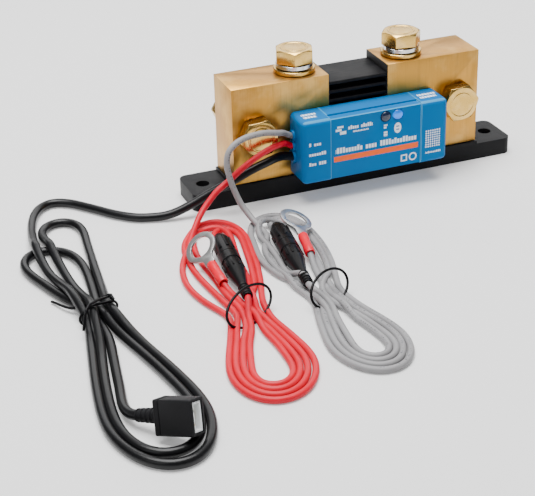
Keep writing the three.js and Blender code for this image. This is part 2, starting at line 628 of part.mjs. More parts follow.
const terminalSleeve = (grow = 0) =>
  rod(SLEEVE_R + grow, -grow, SLEEVE_LENGTH + grow, 12).rotateX(Math.PI / 2).translate(0, -TONGUE_LENGTH, 0);

function terminalBlank(grow = 0) {
  const outline = new THREE.Shape();
  const lead = Math.asin((TONGUE_WIDTH / 2 + grow) / (EYE_R + grow));
  outline.absarc(0, 0, EYE_R + grow, -Math.PI / 2 + lead, Math.PI * 1.5 - lead);
  outline.lineTo(-TONGUE_WIDTH / 2 - grow, -TONGUE_LENGTH + GAP - grow);
  outline.lineTo(TONGUE_WIDTH / 2 + grow, -TONGUE_LENGTH + GAP - grow);
  if (grow === 0) outline.holes.push(new THREE.Path().absarc(0, 0, EYE_HOLE_R, 0, Math.PI * 2, true));
  const thickness = BLANK_THICKNESS + 2 * grow;
  return extruded(outline, thickness, 12).translate(0, 0, -thickness / 2);
}

function makeTerminal(name, terminal) {
  const frame = terminalFrame(terminal);
  addMesh(`${name}_terminal`, terminalBlank().applyMatrix4(frame), tinned);
  addMesh(`${name}_terminal_sleeve`, terminalSleeve().applyMatrix4(frame), sleeveRed);
}

function terminalClearance(terminal) {
  const frame = terminalFrame(terminal);
  return toGeometry(toManifold(terminalBlank(GAP).applyMatrix4(frame))
    .add(toManifold(terminalSleeve(GAP).applyMatrix4(frame))));
}

// data plug, standing on its narrow side: +X towards its open end, +Y up its wide side
function plugFrame() {
  const x = new THREE.Vector3(...data.plug.length).normalize();
  const y = new THREE.Vector3(...data.plug.width);
  y.addScaledVector(x, -y.dot(x)).normalize();
  const z = new THREE.Vector3().crossVectors(x, y);
  const corner = new THREE.Vector3(...data.plug.corner);
  const middle = corner.addScaledVector(y, PLUG_WIDTH / 2).addScaledVector(z, -PLUG_THICKNESS / 2);
  return new THREE.Matrix4().makeBasis(x, y, z).setPosition(middle);
}

const plugShell = (grow = 0) => new RoundedBoxGeometry(
  PLUG_LENGTH + 2 * grow, PLUG_WIDTH + 2 * grow, PLUG_THICKNESS + 2 * grow, 2, 1)
  .translate(PLUG_LENGTH / 2, 0, 0);

const plugBoot = (grow = 0) => turned([[0, GAP - grow], [BOOT_R + grow, GAP - grow],
  [BOOT_R - 0.4 + grow, BOOT_LENGTH + grow], [0, BOOT_LENGTH + grow]], 12).rotateY(-Math.PI / 2);

function makePlug() {
  const frame = plugFrame();
  const pocket = (grow, depth) => {
    const width = SOCKET.width / 2 + grow;
    const thickness = SOCKET.thickness / 2 + grow;
    return block(PLUG_LENGTH - depth, PLUG_LENGTH + 1, -width, width, -thickness, thickness);
  };
  const shell = shaped(plugShell(), [], [pocket(GAP, SOCKET.depth + GAP)]);
  addMesh('data_plug_body', shell.applyMatrix4(frame), blackSheath);
  addMesh('data_plug_boot', plugBoot().applyMatrix4(frame), blackSheath);
  const mouth = block(PLUG_LENGTH - SOCKET.depth + 1.5, PLUG_LENGTH + 1,
    -SOCKET.width / 2 + SOCKET.wall, SOCKET.width / 2 - SOCKET.wall,
    -SOCKET.thickness / 2 + SOCKET.wall, SOCKET.thickness / 2 - SOCKET.wall);
  const insert = block(PLUG_LENGTH - SOCKET.depth, PLUG_LENGTH - 0.4,
    -SOCKET.width / 2, SOCKET.width / 2, -SOCKET.thickness / 2, SOCKET.thickness / 2);
  addMesh('data_plug_socket', shaped(insert, [], [mouth]).applyMatrix4(frame), whitePlastic);
}

function plugClearance() {
  return toGeometry(toManifold(plugShell(GAP).applyMatrix4(plugFrame()))
    .add(toManifold(plugBoot(GAP).applyMatrix4(plugFrame()))));
}

// what lies where
const red = {
  holder: { tail: [-93.9, -107, 5.2], head: [-86.6, -50, 5.2] },
  terminal: { eye: [-99.6, -63.8, 9], normal: [-0.66, -0.165, 0.733], wireward: [0.04, -0.98, -0.19] },
  tie: { centre: [-97, -116.5, 6.6], across: [11.8, 6.8, 0.6], rise: [-0.5, 4.2, 5.2] },
  hank: {
    waist: 17, height: 9,
    upper: { tie: [-96, -113], end: [-77, -28.5], left: 22, right: 11.5, round: 30 },
    lower: { tie: [-96, -113], end: [-108.5, -179], left: 15, right: 15, round: 22 },
  },
};
const grey = {
  holder: { tail: [-66.6, -107, 5.2], head: [-58.9, -51, 5.2] },
  terminal: { eye: [-51, -55.3, 8.8], normal: [0.343, -0.2, 0.918], wireward: [-0.139, -0.965, -0.158] },
  tie: { centre: [-61, -116.5, 6.6], across: [9.4, 4.6, 0.6], rise: [-0.5, 4.2, 5.2] },
  hank: {
    waist: 14, height: 9,
    upper: { tie: [-61, -113], end: [-52.5, -31], left: 17, right: 12, round: 46 },
    lower: { tie: [-61, -113], end: [-61, -176.5], left: 14.5, right: 14.5, round: 20 },
  },
};
const data = {
  plug: { corner: [-159.5, -185.1, 3], length: [0.618, -0.74, 0.267], width: [0.073, 0.391, 0.917] },
  tie: { centre: [-154, -94, 4.6], across: [6.9, 1, 0], rise: [0, 0.8, 3.9] },
  hank: {
    waist: 10, height: 8,
    upper: { tie: [-154, -92], end: [-155, 8], left: 17.5, right: 17, round: 46 },
    lower: { tie: [-154, -92], end: [-154.6, -206], left: 21.5, right: 21.5, round: 36 },
  },
};

function makeFusedLead(name, lead, route, material) {
  const clearances = [holderClearance(lead.holder), terminalClearance(lead.terminal),
    tieLoop(lead.tie, GAP), routeClearance(route, WIRE_D, 60)];
  makeHolder(name, lead.holder);
  makeTerminal(name, lead.terminal);
  addMesh(`${name}_tie`, tieLoop(lead.tie), blackSheath);
  addMesh(`${name}_lead`, tube(route, WIRE_D, 60), material);
  addMesh(`${name}_hank`, shaped(hankSolid(lead.hank), [], clearances), material);
}

function makeDataLead() {
  makePlug();
  addMesh('data_tie', tieLoop(data.tie), blackSheath);
  addMesh('data_lead', tube(dataRoute, DATA_D, 72), blackSheath);
  const clearances = [plugClearance(), tieLoop(data.tie, GAP), routeClearance(dataRoute, DATA_D, 72)];
  addMesh('data_hank', shaped(hankSolid(data.hank), [], clearances), blackSheath);
}

makeBase();
makeBaseScrews();
for (const [side, name] of [[-1, 'load'], [1, 'battery']]) {
  makeBlock(side, `${name}_block`);
  makeTopFasteners(side, name);
  makeSideFasteners(side, name);
}
makePlates();
makeHousing();
makeLenses();
makeGrommet();
makeFusedLead('red', red, redRoute, redSheath);
makeFusedLead('grey', grey, greyRoute, greySheath);
makeDataLead();

export default part;
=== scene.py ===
"""Battery monitor shunt: brass blocks and resistor plates on an insulating base, a blue sensing housing, and
three leads tied up in hanks. Metres throughout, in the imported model's own frame."""
import json
import math

import bmesh
import bpy
import numpy as np
from mathutils import Matrix, Vector
from mathutils.geometry import tessellate_polygon


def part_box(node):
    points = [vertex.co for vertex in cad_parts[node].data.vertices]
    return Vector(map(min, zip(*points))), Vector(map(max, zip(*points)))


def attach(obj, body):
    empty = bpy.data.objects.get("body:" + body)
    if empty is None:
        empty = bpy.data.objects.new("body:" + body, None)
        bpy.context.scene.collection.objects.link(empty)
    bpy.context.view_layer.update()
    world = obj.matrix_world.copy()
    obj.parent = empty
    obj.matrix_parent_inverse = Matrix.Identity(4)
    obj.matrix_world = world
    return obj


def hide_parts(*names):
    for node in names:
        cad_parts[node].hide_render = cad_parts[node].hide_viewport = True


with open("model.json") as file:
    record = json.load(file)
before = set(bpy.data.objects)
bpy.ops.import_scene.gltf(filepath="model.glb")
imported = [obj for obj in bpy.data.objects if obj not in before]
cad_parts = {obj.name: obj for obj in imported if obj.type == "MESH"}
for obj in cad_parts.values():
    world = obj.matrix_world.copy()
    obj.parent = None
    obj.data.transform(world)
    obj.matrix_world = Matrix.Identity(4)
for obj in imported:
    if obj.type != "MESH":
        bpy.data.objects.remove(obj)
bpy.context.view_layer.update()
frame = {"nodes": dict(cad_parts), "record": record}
MM = 0.001
UP, REARWARD, FORWARD = Vector((0, 0, 1)), Vector((0, 1, 0)), Vector((0, -1, 0))


# ---------- node graphs ----------
class Graph:
    """Adds nodes to a shader or geometry tree by type, settings and socket values."""

    def __init__(self, tree):
        self.tree = tree

    def node(self, kind, settings=None, sockets=None):
        made = self.tree.nodes.new(kind)
        for name, value in (settings or {}).items():
            setattr(made, name, value)
        for key, value in (sockets or {}).items():
            self.feed(made.inputs[key], value)
        return made

    def feed(self, socket, value):
        if isinstance(value, Value):
            value = value.socket
        if isinstance(value, bpy.types.NodeSocket):
            self.tree.links.new(value, socket)
        else:
            socket.default_value = value


class Value:
    """A number in a shader tree. Python's operators on it add Math nodes."""

    def __init__(self, graph, socket):
        self.graph = graph
        self.socket = socket

    def maths(self, operation, *others, clamp=False):
        sockets = dict(enumerate((self, *others)))
        made = self.graph.node("ShaderNodeMath", {"operation": operation, "use_clamp": clamp}, sockets)
        return Value(self.graph, made.outputs[0])

    def swapped(self, operation, other):
        made = self.graph.node("ShaderNodeMath", {"operation": operation}, {0: other, 1: self})
        return Value(self.graph, made.outputs[0])

    def __add__(self, other):
        return self.maths("ADD", other)

    __radd__ = __add__

    def __mul__(self, other):
        return self.maths("MULTIPLY", other)

    __rmul__ = __mul__

    def __sub__(self, other):
        return self.maths("SUBTRACT", other)

    def __rsub__(self, other):
        return self.swapped("SUBTRACT", other)

    def __truediv__(self, other):
        return self.maths("DIVIDE", other)

    def __abs__(self):
        return self.maths("ABSOLUTE")

    def __gt__(self, other):
        return self.maths("GREATER_THAN", other)

    def __lt__(self, other):
        return self.maths("LESS_THAN", other)

    def sharpened(self, low, high):
        """0 below `low`, 1 above `high` and smooth between."""
        made = self.graph.node("ShaderNodeMapRange", {"interpolation_type": "SMOOTHSTEP"},
                               {"Value": self, "From Min": low, "From Max": high})
        return Value(self.graph, made.outputs["Result"])


class Finish(Graph):
    """One procedural material on a Principled shader, patterned on Object coordinates."""

    def __init__(self, name, **principled):
        self.material = bpy.data.materials.new(name)
        self.material.use_nodes = True
        super().__init__(self.material.node_tree)
        self.shader = self.tree.nodes["Principled BSDF"]
        for key, value in principled.items():
            self.shader.inputs[key.replace("_", " ").title().replace("Ior", "IOR")].default_value = value
        self.place = self.node("ShaderNodeTexCoord").outputs["Object"]
        self.heights = None

    def parts(self, vector=None):
        made = self.node("ShaderNodeSeparateXYZ", None, {0: vector or self.place})
        return [Value(self, socket) for socket in made.outputs]

    def stretched(self, x, y, z):
        return self.node("ShaderNodeMapping", None, {"Vector": self.place, "Scale": (x, y, z)}).outputs[0]

    def noise(self, scale, detail=3.0, roughness=0.5, vector=None):
        made = self.node("ShaderNodeTexNoise", None, {"Vector": vector or self.place, "Scale": scale,
                                                      "Detail": detail, "Roughness": roughness})
        return Value(self, made.outputs["Fac"])

    def cells(self, scale, vector=None):
        made = self.node("ShaderNodeTexVoronoi", None, {"Vector": vector or self.place, "Scale": scale})
        return Value(self, made.outputs["Distance"])

    def attribute(self, name):
        return Value(self, self.node("ShaderNodeAttribute", {"attribute_name": name}).outputs["Fac"])

    def mixed(self, factor, low, high):
        """Colour `low` where factor is 0 and `high` where it is 1."""
        made = self.node("ShaderNodeMix", {"data_type": "RGBA"})
        for index, value in ((0, factor), (6, low), (7, high)):
            value = (*value, 1.0) if isinstance(value, tuple) and len(value) == 3 else value
            self.feed(made.inputs[index], value)
        return made.outputs[2]

    def colour(self, value):
        self.feed(self.shader.inputs["Base Color"], value)

    def roughness(self, value):
        self.feed(self.shader.inputs["Roughness"], value)

    def bump(self, height, distance, strength=1.0):
        made = self.node("ShaderNodeBump", None,
                         {"Height": height, "Distance": distance, "Strength": strength})
        if self.heights is not None:
            self.feed(made.inputs["Normal"], self.heights)
        self.heights = made.outputs["Normal"]
        self.feed(self.shader.inputs["Normal"], self.heights)


# ---------- finishes ----------
BRASS = (0.52, 0.265, 0.05)
BRASS_PALE = (0.66, 0.39, 0.11)
BRASS_TARNISH = (0.27, 0.14, 0.035)
INNER_FACE_BLACK = (0.012, 0.012, 0.013)


def brass_finish():
    """Sawn and linished brass: fine lines down the faces, slight tarnish, black paint between the blocks."""
    finish = Finish("sawn_brass", metallic=1.0)
    lines = finish.noise(1.0, 5.0, 0.6, finish.stretched(2600, 2600, 60))
    broad = finish.noise(1.0, 2.0, 0.5, finish.stretched(330, 330, 18))
    cloud = finish.noise(55, 4.0, 0.6)
    scratches = finish.noise(1.0, 1.0, 0.3, finish.stretched(900, 900, 9)).sharpened(0.66, 0.74)
    tone = finish.mixed(cloud.sharpened(0.42, 0.72), BRASS, BRASS_PALE)
    tarnish = lines.sharpened(0.52, 0.75) * 0.35 + broad.sharpened(0.5, 0.8) * 0.3
    tone = finish.mixed(tarnish, tone, BRASS_TARNISH)
    x, _, _ = finish.parts()
    inner = min(abs(corner.x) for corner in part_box("load_block"))
    painted = abs(x) < inner + 0.25 * MM
    finish.colour(finish.mixed(painted, tone, INNER_FACE_BLACK))
    finish.feed(finish.shader.inputs["Metallic"], 1.0 - painted)
    finish.roughness(0.27 + lines * 0.16 + cloud * 0.08 + painted * 0.3)
    finish.bump(lines * 0.7 + broad * 0.3 + scratches * 0.4, 0.05 * MM, 0.35)
    return finish.material


def plated_finish(name, base, tint, shade, roughness):
    """Zinc plate: slightly mottled, with a faint second colour where the film is thicker."""
    finish = Finish(name, metallic=1.0)
    film = finish.noise(160, 3.0, 0.55)
    grain = finish.noise(2200, 3.0, 0.6)
    wear = finish.noise(420, 4.0, 0.65).sharpened(0.56, 0.7)
    tone = finish.mixed(film.sharpened(0.4, 0.65), base, tint)
    finish.colour(finish.mixed(wear * 0.5, tone, shade))
    finish.roughness(roughness + grain * 0.1 + wear * 0.1)
    finish.bump(grain, 0.03 * MM, 0.3)
    return finish.material


def plastic_finish(name, base, light, roughness, grain_height, grain_scale=1900):
    """Moulded plastic: fine spark-eroded grain, slightly uneven gloss and a few pale handling marks."""
    finish = Finish(name, specular_ior_level=0.12)
    grain = finish.noise(grain_scale, 3.0, 0.6)
    cloud = finish.noise(40, 3.0, 0.5)
    rubs = finish.noise(260, 5.0, 0.7).sharpened(0.62, 0.75)
    tone = finish.mixed(cloud.sharpened(0.35, 0.7) * 0.5, base, light)
    finish.colour(finish.mixed(rubs * 0.12, tone, tuple(min(1.0, channel * 1.6 + 0.02) for channel in light)))
    finish.roughness(roughness + grain * 0.12 + rubs * 0.08)
    finish.bump(grain, grain_height, 0.5)
    return finish.material


BLUE = (0.0, 0.13, 0.37)
BLUE_PALE = (0.0, 0.155, 0.42)
BLUE_EDGE_HIGHLIGHT = (0.10, 0.42, 0.66)
WHITE_PRINT = (0.80, 0.88, 0.95)
ORANGE_PRINT = (1.0, 0.13, 0.02)
DOT_PITCH = 1.17 * MM


def housing_finish():
    """Blue moulding with plain printed marks: rows of bars, a stripe, a pill and a dot grid; with painted
    highlights along the panel steps and the top front edge.
    """
    finish = Finish("printed_blue_moulding", specular_ior_level=0.1)
    x, y, z = finish.parts()
    low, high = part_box("housing_shell")
    panel_left, panel_right = low.x + 14.4 * MM, high.x - 14.2 * MM

    def within(value, start, end):
        made = finish.node("ShaderNodeMath", {"operation": "COMPARE"},
                           {0: value, 1: (start + end) / 2 * MM, 2: (end - start) / 2 * MM})
        return Value(finish, made.outputs[0])

    def bars(across, start, end, line, height, pitch=1.7, filled=0.8):
        """A line of plain blocks, letter by letter, with the odd one lower or left out."""
        up = z if across is x else x
        share = (across * (1 / (pitch * MM))).maths("FRACT")
        number = (across * (1 / (pitch * MM))).maths("FLOOR")
        dice = ((number * 12.9898 + line * 7.31).maths("SINE") * 43.7585).maths("FRACT")
        letter = (share < filled) * (dice > 0.06)
        shoulder = line + height * 0.74
        tall = within(up, line, shoulder) + within(up, shoulder, line + height) * (dice > 0.5)
        return letter * (tall > 0.5) * within(across, start, end)

    front = y < low.y + 1.3 * MM
    upper = z > high.z - 1.2 * MM
    marks = within(x, -18.6, -15.6) * within(z, 35.2, 36.4) + within(x, -16.4, -13.2) * within(z, 33.4, 35.0)
    marks += within(x, -17.8, -14.6) * within(z, 36.8, 37.8)
    marks += bars(x, -12.2, 0.4, 35.4, 1.9, 1.1) + bars(x, -9.6, -1.6, 33.6, 0.8, 0.7)
    marks += bars(x, -18.6, 2.6, 24.0, 2.8, 1.5, 0.78) + bars(x, 4.6, 24.0, 24.0, 2.8, 1.5, 0.78)
    marks += bars(z, 28.4, 34.6, 6.4, 1.9, 1.25)
    pill = (((x - 13.7 * MM) * 1.45).maths("POWER", 2.0) + (z - 31.8 * MM).maths("POWER", 2.0)).maths("SQRT")
    slots = within(x, 12.9, 14.5) * (within(z, 30.7, 31.3) + within(z, 32.3, 32.9))
    marks += (pill < 2.7 * MM) * (slots < 0.5)
    ring = ((x - 22.0 * MM).maths("POWER", 2.0) + (z - 15.4 * MM).maths("POWER", 2.0)).maths("SQRT")
    marks += within(ring, 1.4, 2.1) + within(x, 15.6, 19.0) * within(z, 13.6, 17.2) * (
        within(x, 16.3, 18.3) * within(z, 14.3, 16.5) < 0.5)
    for line in (30.4, 25.4, 20.4):
        marks += bars(x, -32.6, -24.0 if line < 30 else -26.5, line, 1.7, 1.25)
    column, storey = ((way * (1 / DOT_PITCH)).maths("FRACT") - 0.5 for way in (x, z))
    dots = (column.maths("POWER", 2.0) + storey.maths("POWER", 2.0)).maths("SQRT") < 0.36
    marks += dots * within(x, 28.1, 36.3) * within(z, 18.7, 28.1)
    marks += bars(x, 28.4, 36.6, 15.8, 1.0, 0.9)
    on_top = 0.0
    for start, end in ((-32.6, -25.2), (28.0, 37.4)):
        for row_low in (-19.4, -22.6):
            letter = (x * (1 / (1.45 * MM))).maths("FRACT") < 0.78
            on_top = letter * within(x, start, end if row_low > -20 else end - 0.8) * within(
                y, row_low, row_low + 1.9) + on_top
    print_white = (marks * front + on_top * upper) > 0.5
    stripe = within(x, -19.5, 24.7) * within(z, 19.8, 22.5) * front
    # Painted highlights: pale blue lines at the panel's two side steps and along the top front edge, standing
    # in for light caught on those edges.
    edges = (abs(x - panel_left) < 0.35 * MM) + (abs(x - panel_right) < 0.3 * MM)
    edges += (abs(z - high.z + 0.3 * MM) < 0.55 * MM) * (y < low.y + 2.0 * MM)
    cloud = finish.noise(40, 3.0, 0.5)
    grain = finish.noise(2600, 3.0, 0.6)
    thin = finish.noise(1300, 4.0, 0.7).sharpened(0.3, 0.45)
    tone = finish.mixed(cloud.sharpened(0.35, 0.7) * 0.5, BLUE, BLUE_PALE)
    # Painted highlight: the edge lines are lightened halfway to pale blue.
    tone = finish.mixed((edges > 0.5) * 0.5, tone, BLUE_EDGE_HIGHLIGHT)
    tone = finish.mixed(stripe * (0.9 + thin * 0.1), tone, ORANGE_PRINT)
    finish.colour(finish.mixed(print_white * (0.86 + thin * 0.12), tone, WHITE_PRINT))
    finish.roughness(0.34 + grain * 0.12 + print_white * 0.08)
    finish.bump(grain, 0.02 * MM, 0.5)
    return finish.material


def plate_finish():
    """Resistor plates: dark oxide with a dull sheen and dust specks."""
    finish = Finish("dark_resistor_alloy", metallic=0.1, specular_ior_level=0.15)
    grain = finish.noise(1.0, 4.0, 0.6, finish.stretched(120, 1500, 1500))
    specks = finish.cells(900)
    dust = 1.0 - specks.sharpened(0.06, 0.12)
    cloud = finish.noise(90, 3.0, 0.6)
    tone = finish.mixed(cloud.sharpened(0.4, 0.7), (0.004, 0.004, 0.005), (0.011, 0.0105, 0.011))
    finish.colour(finish.mixed(dust * cloud.sharpened(0.55, 0.62) * 0.4, tone, (0.12, 0.12, 0.12)))
    finish.roughness(0.42 + grain * 0.2)
    finish.bump(grain + dust * 0.4, 0.04 * MM, 0.4)
    return finish.material


def sheath_finish(name, base, light, roughness, print_colour=None, print_share=0.0):
    """Cable insulation: faintly wavy, with soft gloss changes and, on some, a worn line of print."""
    finish = Finish(name, coat_roughness=0.35, specular_ior_level=0.25)
    finish.shader.inputs["Coat Weight"].default_value = 0.03
    wave = finish.noise(300, 2.0, 0.5)
    grain = finish.noise(2400, 2.0, 0.5)
    cloud = finish.noise(60, 3.0, 0.5)
    tone = finish.mixed(cloud.sharpened(0.35, 0.7) * 0.7, base, light)
    if print_colour:
        along, around = finish.attribute("along"), finish.attribute("around")
        step = along * 900.0
        marks = (step.maths("FRACT") - 0.5).maths("ABSOLUTE") < 0.3
        worn = finish.noise(700, 3.0, 0.6).sharpened(0.42, 0.6)
        groups = (along * 11.0).maths("FRACT") < 0.55
        band = (around.maths("FRACT") - 0.5).maths("ABSOLUTE") < 0.045
        finish.colour(finish.mixed(marks * groups * band * worn * print_share, tone, print_colour))
    else:
        finish.colour(tone)
    finish.roughness(roughness + grain * 0.1 + cloud * 0.08)
    finish.bump(wave * 0.8 + grain * 0.12, 0.08 * MM, 0.35)
    return finish.material


def lens_finish(name, base, glow=None, strength=0.0):
    finish = Finish(name, roughness=0.1)
    finish.shader.inputs["Coat Weight"].default_value = 0.25
    haze = finish.noise(600, 2.0, 0.5)
    rim = tuple(channel * 0.55 for channel in base)
    finish.colour(finish.mixed(haze.sharpened(0.4, 0.7) * 0.5, base, rim))
    if glow:
        _, _, z = finish.parts()
        low, high = (corner.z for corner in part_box("radio_lens"))
        centre = (abs(z - (low + high) / 2) / (high - low)).sharpened(0.05, 0.5)
        finish.feed(finish.shader.inputs["Emission Color"],
                    finish.mixed(centre, glow, tuple(channel * 0.35 for channel in glow)))
        finish.shader.inputs["Emission Strength"].default_value = strength
    return finish.material


def board_finish():
    """Solder resist with pale tracks and pads."""
    finish = Finish("solder_resist", roughness=0.35)
    tracks = finish.node("ShaderNodeTexBrick", {"offset": 0.5}, {
        "Vector": finish.place, "Scale": 240.0, "Mortar Size": 0.05, "Color1": (0.02, 0.13, 0.05, 1),
        "Color2": (0.015, 0.10, 0.045, 1), "Mortar": (0.06, 0.25, 0.10, 1)})
    finish.colour(tracks.outputs["Color"])
    finish.bump(finish.noise(1500), 0.03 * MM, 0.3)
    return finish.material


def glass_finish():
    """Fuse tube: clear glass between two nickel caps."""
    finish = Finish("fuse_glass_and_caps", roughness=0.12)
    streaks = finish.noise(500).sharpened(0.45, 0.6)
    finish.colour(finish.mixed(streaks, (0.62, 0.66, 0.66), (0.75, 0.78, 0.78)))
    finish.bump(finish.noise(800), 0.02 * MM, 0.3)
    return finish.material


finishes = {
    "brass": brass_finish(),
    "passivated": plated_finish("yellow_passivated_zinc", (0.64, 0.40, 0.10), (0.74, 0.49, 0.16),
                                (0.52, 0.36, 0.2), 0.2),
    "steel": plated_finish("bright_zinc", (0.66, 0.66, 0.65), (0.74, 0.74, 0.73), (0.4, 0.4, 0.42), 0.16),
    "tin": plated_finish("tin_plate", (0.72, 0.72, 0.71), (0.80, 0.80, 0.79), (0.5, 0.5, 0.5), 0.3),
    "gold": plated_finish("gold_flash", (0.83, 0.62, 0.26), (0.87, 0.68, 0.32), (0.6, 0.42, 0.2), 0.2),
    "plates": plate_finish(),
    "base": plastic_finish("base_moulding", (0.006, 0.006, 0.007), (0.010, 0.010, 0.011), 0.4, 0.05 * MM),
    "blue": plastic_finish("blue_moulding", BLUE, BLUE_PALE, 0.34, 0.02 * MM, 2600),
    "printed_blue": housing_finish(),
    "holder": plastic_finish("holder_moulding", (0.004, 0.004, 0.0045), (0.008, 0.008, 0.009), 0.26,
                             0.02 * MM),
    "plug": plastic_finish("plug_moulding", (0.009, 0.009, 0.010), (0.014, 0.014, 0.016), 0.48, 0.05 * MM),
    "white": plastic_finish("white_nylon", (0.74, 0.77, 0.78), (0.82, 0.84, 0.84), 0.4, 0.02 * MM),
    "tie": plastic_finish("tie_coating", (0.004, 0.004, 0.0045), (0.008, 0.008, 0.009), 0.25, 0.02 * MM),
    "sleeve": sheath_finish("vinyl_sleeve", (0.70, 0.0, 0.02), (0.78, 0.002, 0.03), 0.2),
    "red": sheath_finish("red_insulation", (0.56, 0.0, 0.016), (0.64, 0.001, 0.024), 0.34,
                         (0.4, 0.01, 0.04), 0.35),
    "grey": sheath_finish("grey_insulation", (0.235, 0.23, 0.235), (0.285, 0.28, 0.285), 0.34,
                          (0.06, 0.06, 0.07), 0.8),
    "black": sheath_finish("black_sheath", (0.003, 0.003, 0.0035), (0.006, 0.006, 0.007), 0.22),
    "dark_lens": lens_finish("dark_lens", (0.006, 0.014, 0.045)),
    "lit_lens": lens_finish("lit_lens", (0.0, 0.06, 0.3), (0.0, 0.24, 1.0), 1.3),
    "board": board_finish(),
    "glass": glass_finish(),
}


# ---------- meshes ----------
def linked(name, data):
    """A new object in the scene."""
    made = bpy.data.objects.new(name, data)
    bpy.context.scene.collection.objects.link(made)
    return made


def finished(name, mesh, finish, body, node=None, smooth=35):
    """Links a finished mesh as a piece on its body, with shading smoothed below `smooth` degrees."""
    if finish is not None:
        mesh.materials.clear()
        mesh.materials.append(finishes[finish])
    mesh.shade_smooth()
    mesh.set_sharp_from_angle(angle=math.radians(smooth))
    piece = linked(name, mesh)
    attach(piece, body)
    if node:
        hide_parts(*([node] if isinstance(node, str) else node))
    return piece


def mesh_from(name, build):
    """A mesh from a function that fills a bmesh."""
    shape = bmesh.new()
    build(shape)
    bmesh.ops.remove_doubles(shape, verts=shape.verts, dist=1e-7)
    bmesh.ops.recalc_face_normals(shape, faces=shape.faces)
    mesh = bpy.data.meshes.new(name)
    shape.to_mesh(mesh)
    shape.free()
    return mesh


def turned(name, profile, sides=64):
    """A turned piece about +Z from [radius, height] pairs. One that starts off the axis closes on itself."""
    def build(shape):
        rings = []
        for radius, height in profile:
            count = 1 if radius == 0 else sides
            angles = [2 * math.pi * step / sides for step in range(count)]
            rings.append([shape.verts.new((radius * math.cos(angle), radius * math.sin(angle), height))
                          for angle in angles])
        closed = profile[0][0] != 0
        for low, high in zip(rings, rings[1:] + (rings[:1] if closed else [])):
            for step in range(sides):
                after = (step + 1) % sides
                corners = [low[step % len(low)], low[after % len(low)], high[after % len(high)],
                           high[step % len(high)]]
                corners = list(dict.fromkeys(corners))
                if len(corners) > 2:
                    shape.faces.new(corners)
    return mesh_from(name, build)


def aimed(place, direction):
    """Matrix that puts +Z along `direction` at `place`."""
    aim = UP.rotation_difference(Vector(direction).normalized()).to_matrix().to_4x4()
    return Matrix.Translation(place) @ aim


def moved(mesh, place, direction=UP, turn=0.0):
    """Turns a mesh built along +Z by `turn` about its axis, aims it along `direction` and moves it."""
    mesh.transform(aimed(place, direction) @ Matrix.Rotation(turn, 4, "Z"))
    return mesh


def joined(name, *meshes):
    """One mesh from several, which keep their own materials."""
    shape = bmesh.new()
    materials = []
    for mesh in meshes:
        first = len(shape.faces)
        shape.from_mesh(mesh)
        shape.faces.ensure_lookup_table()
        shift = len(materials)
        for face in list(shape.faces)[first:]:
            face.material_index += shift
        materials.extend(mesh.materials)
    whole = bpy.data.meshes.new(name)
    shape.to_mesh(whole)
    shape.free()
    for material in materials:
        whole.materials.append(material)
    return whole


def painted(mesh, finish):
    mesh.materials.clear()
    mesh.materials.append(finishes[finish])
    return mesh


def baked(name, mesh, modifiers):
    """The mesh after the modifiers, each a (type, settings) pair."""
    helper = linked(name + "_helper", mesh)
    for kind, settings in modifiers:
        modifier = helper.modifiers.new(kind.title(), kind)
        for key, value in settings.items():
            setattr(modifier, key, value)
    result = bpy.data.meshes.new_from_object(helper.evaluated_get(bpy.context.evaluated_depsgraph_get()))
    result.name = name
    bpy.data.objects.remove(helper)
    return result


def flat_sides(mesh, result=None):
    """Merges the mesh's loose triangles into flat faces, in place or in `result`."""
    shape = bmesh.new()
    shape.from_mesh(mesh)
    bmesh.ops.remove_doubles(shape, verts=shape.verts, dist=2e-6)
    bmesh.ops.dissolve_limit(shape, angle_limit=math.radians(0.5), verts=shape.verts, edges=shape.edges)
    result = result or mesh
    shape.to_mesh(result)
    shape.free()
    return result


def solid_of(node):
    """A CAD node's mesh, copied, with flat faces."""
    return flat_sides(frame["nodes"][node].data, bpy.data.meshes.new(node + "_solid"))


def bevelled(name, mesh, width, segments=2, angle=32):
    return baked(name, mesh, [("BEVEL", {"width": width, "segments": segments, "limit_method": "ANGLE",
                                         "angle_limit": math.radians(angle), "use_clamp_overlap": True})])


def box_mesh(name, low, high):
    def build(shape):
        bmesh.ops.create_cube(shape, size=1)
        size = Vector(high) - Vector(low)
        middle = (Vector(high) + Vector(low)) / 2
        for vert in shape.verts:
            vert.co = Vector(a * b for a, b in zip(vert.co, size)) + middle
    return mesh_from(name, build)


def combined(name, mesh, others, operation="DIFFERENCE"):
    """The mesh after a boolean with each of the other meshes in turn."""
    helpers = [linked(f"{name}_other_{index}", other) for index, other in enumerate(others)]
    result = baked(name, mesh, [("BOOLEAN", {"object": helper, "operation": operation, "solver": "EXACT"})
                                for helper in helpers])
    for helper in helpers:
        bpy.data.objects.remove(helper)
    return result


# ---------- Geometry Nodes ----------
def grown(name, carrier, tree, values):
    """The mesh that a Geometry Nodes tree makes on a carrier object, with its inputs set by name."""
    bpy.context.scene.collection.objects.link(carrier)
    modifier = carrier.modifiers.new(name, "NODES")
    modifier.node_group = tree
    for item in tree.interface.items_tree:
        if item.item_type == "SOCKET" and item.in_out == "INPUT" and item.name in values:
            modifier[item.identifier] = values[item.name]
    carrier.update_tag()
    bpy.context.view_layer.update()
    mesh = bpy.data.meshes.new_from_object(carrier.evaluated_get(bpy.context.evaluated_depsgraph_get()))
    mesh.name = name
    carrier.modifiers.remove(modifier)
    bpy.data.objects.remove(carrier)
    return mesh


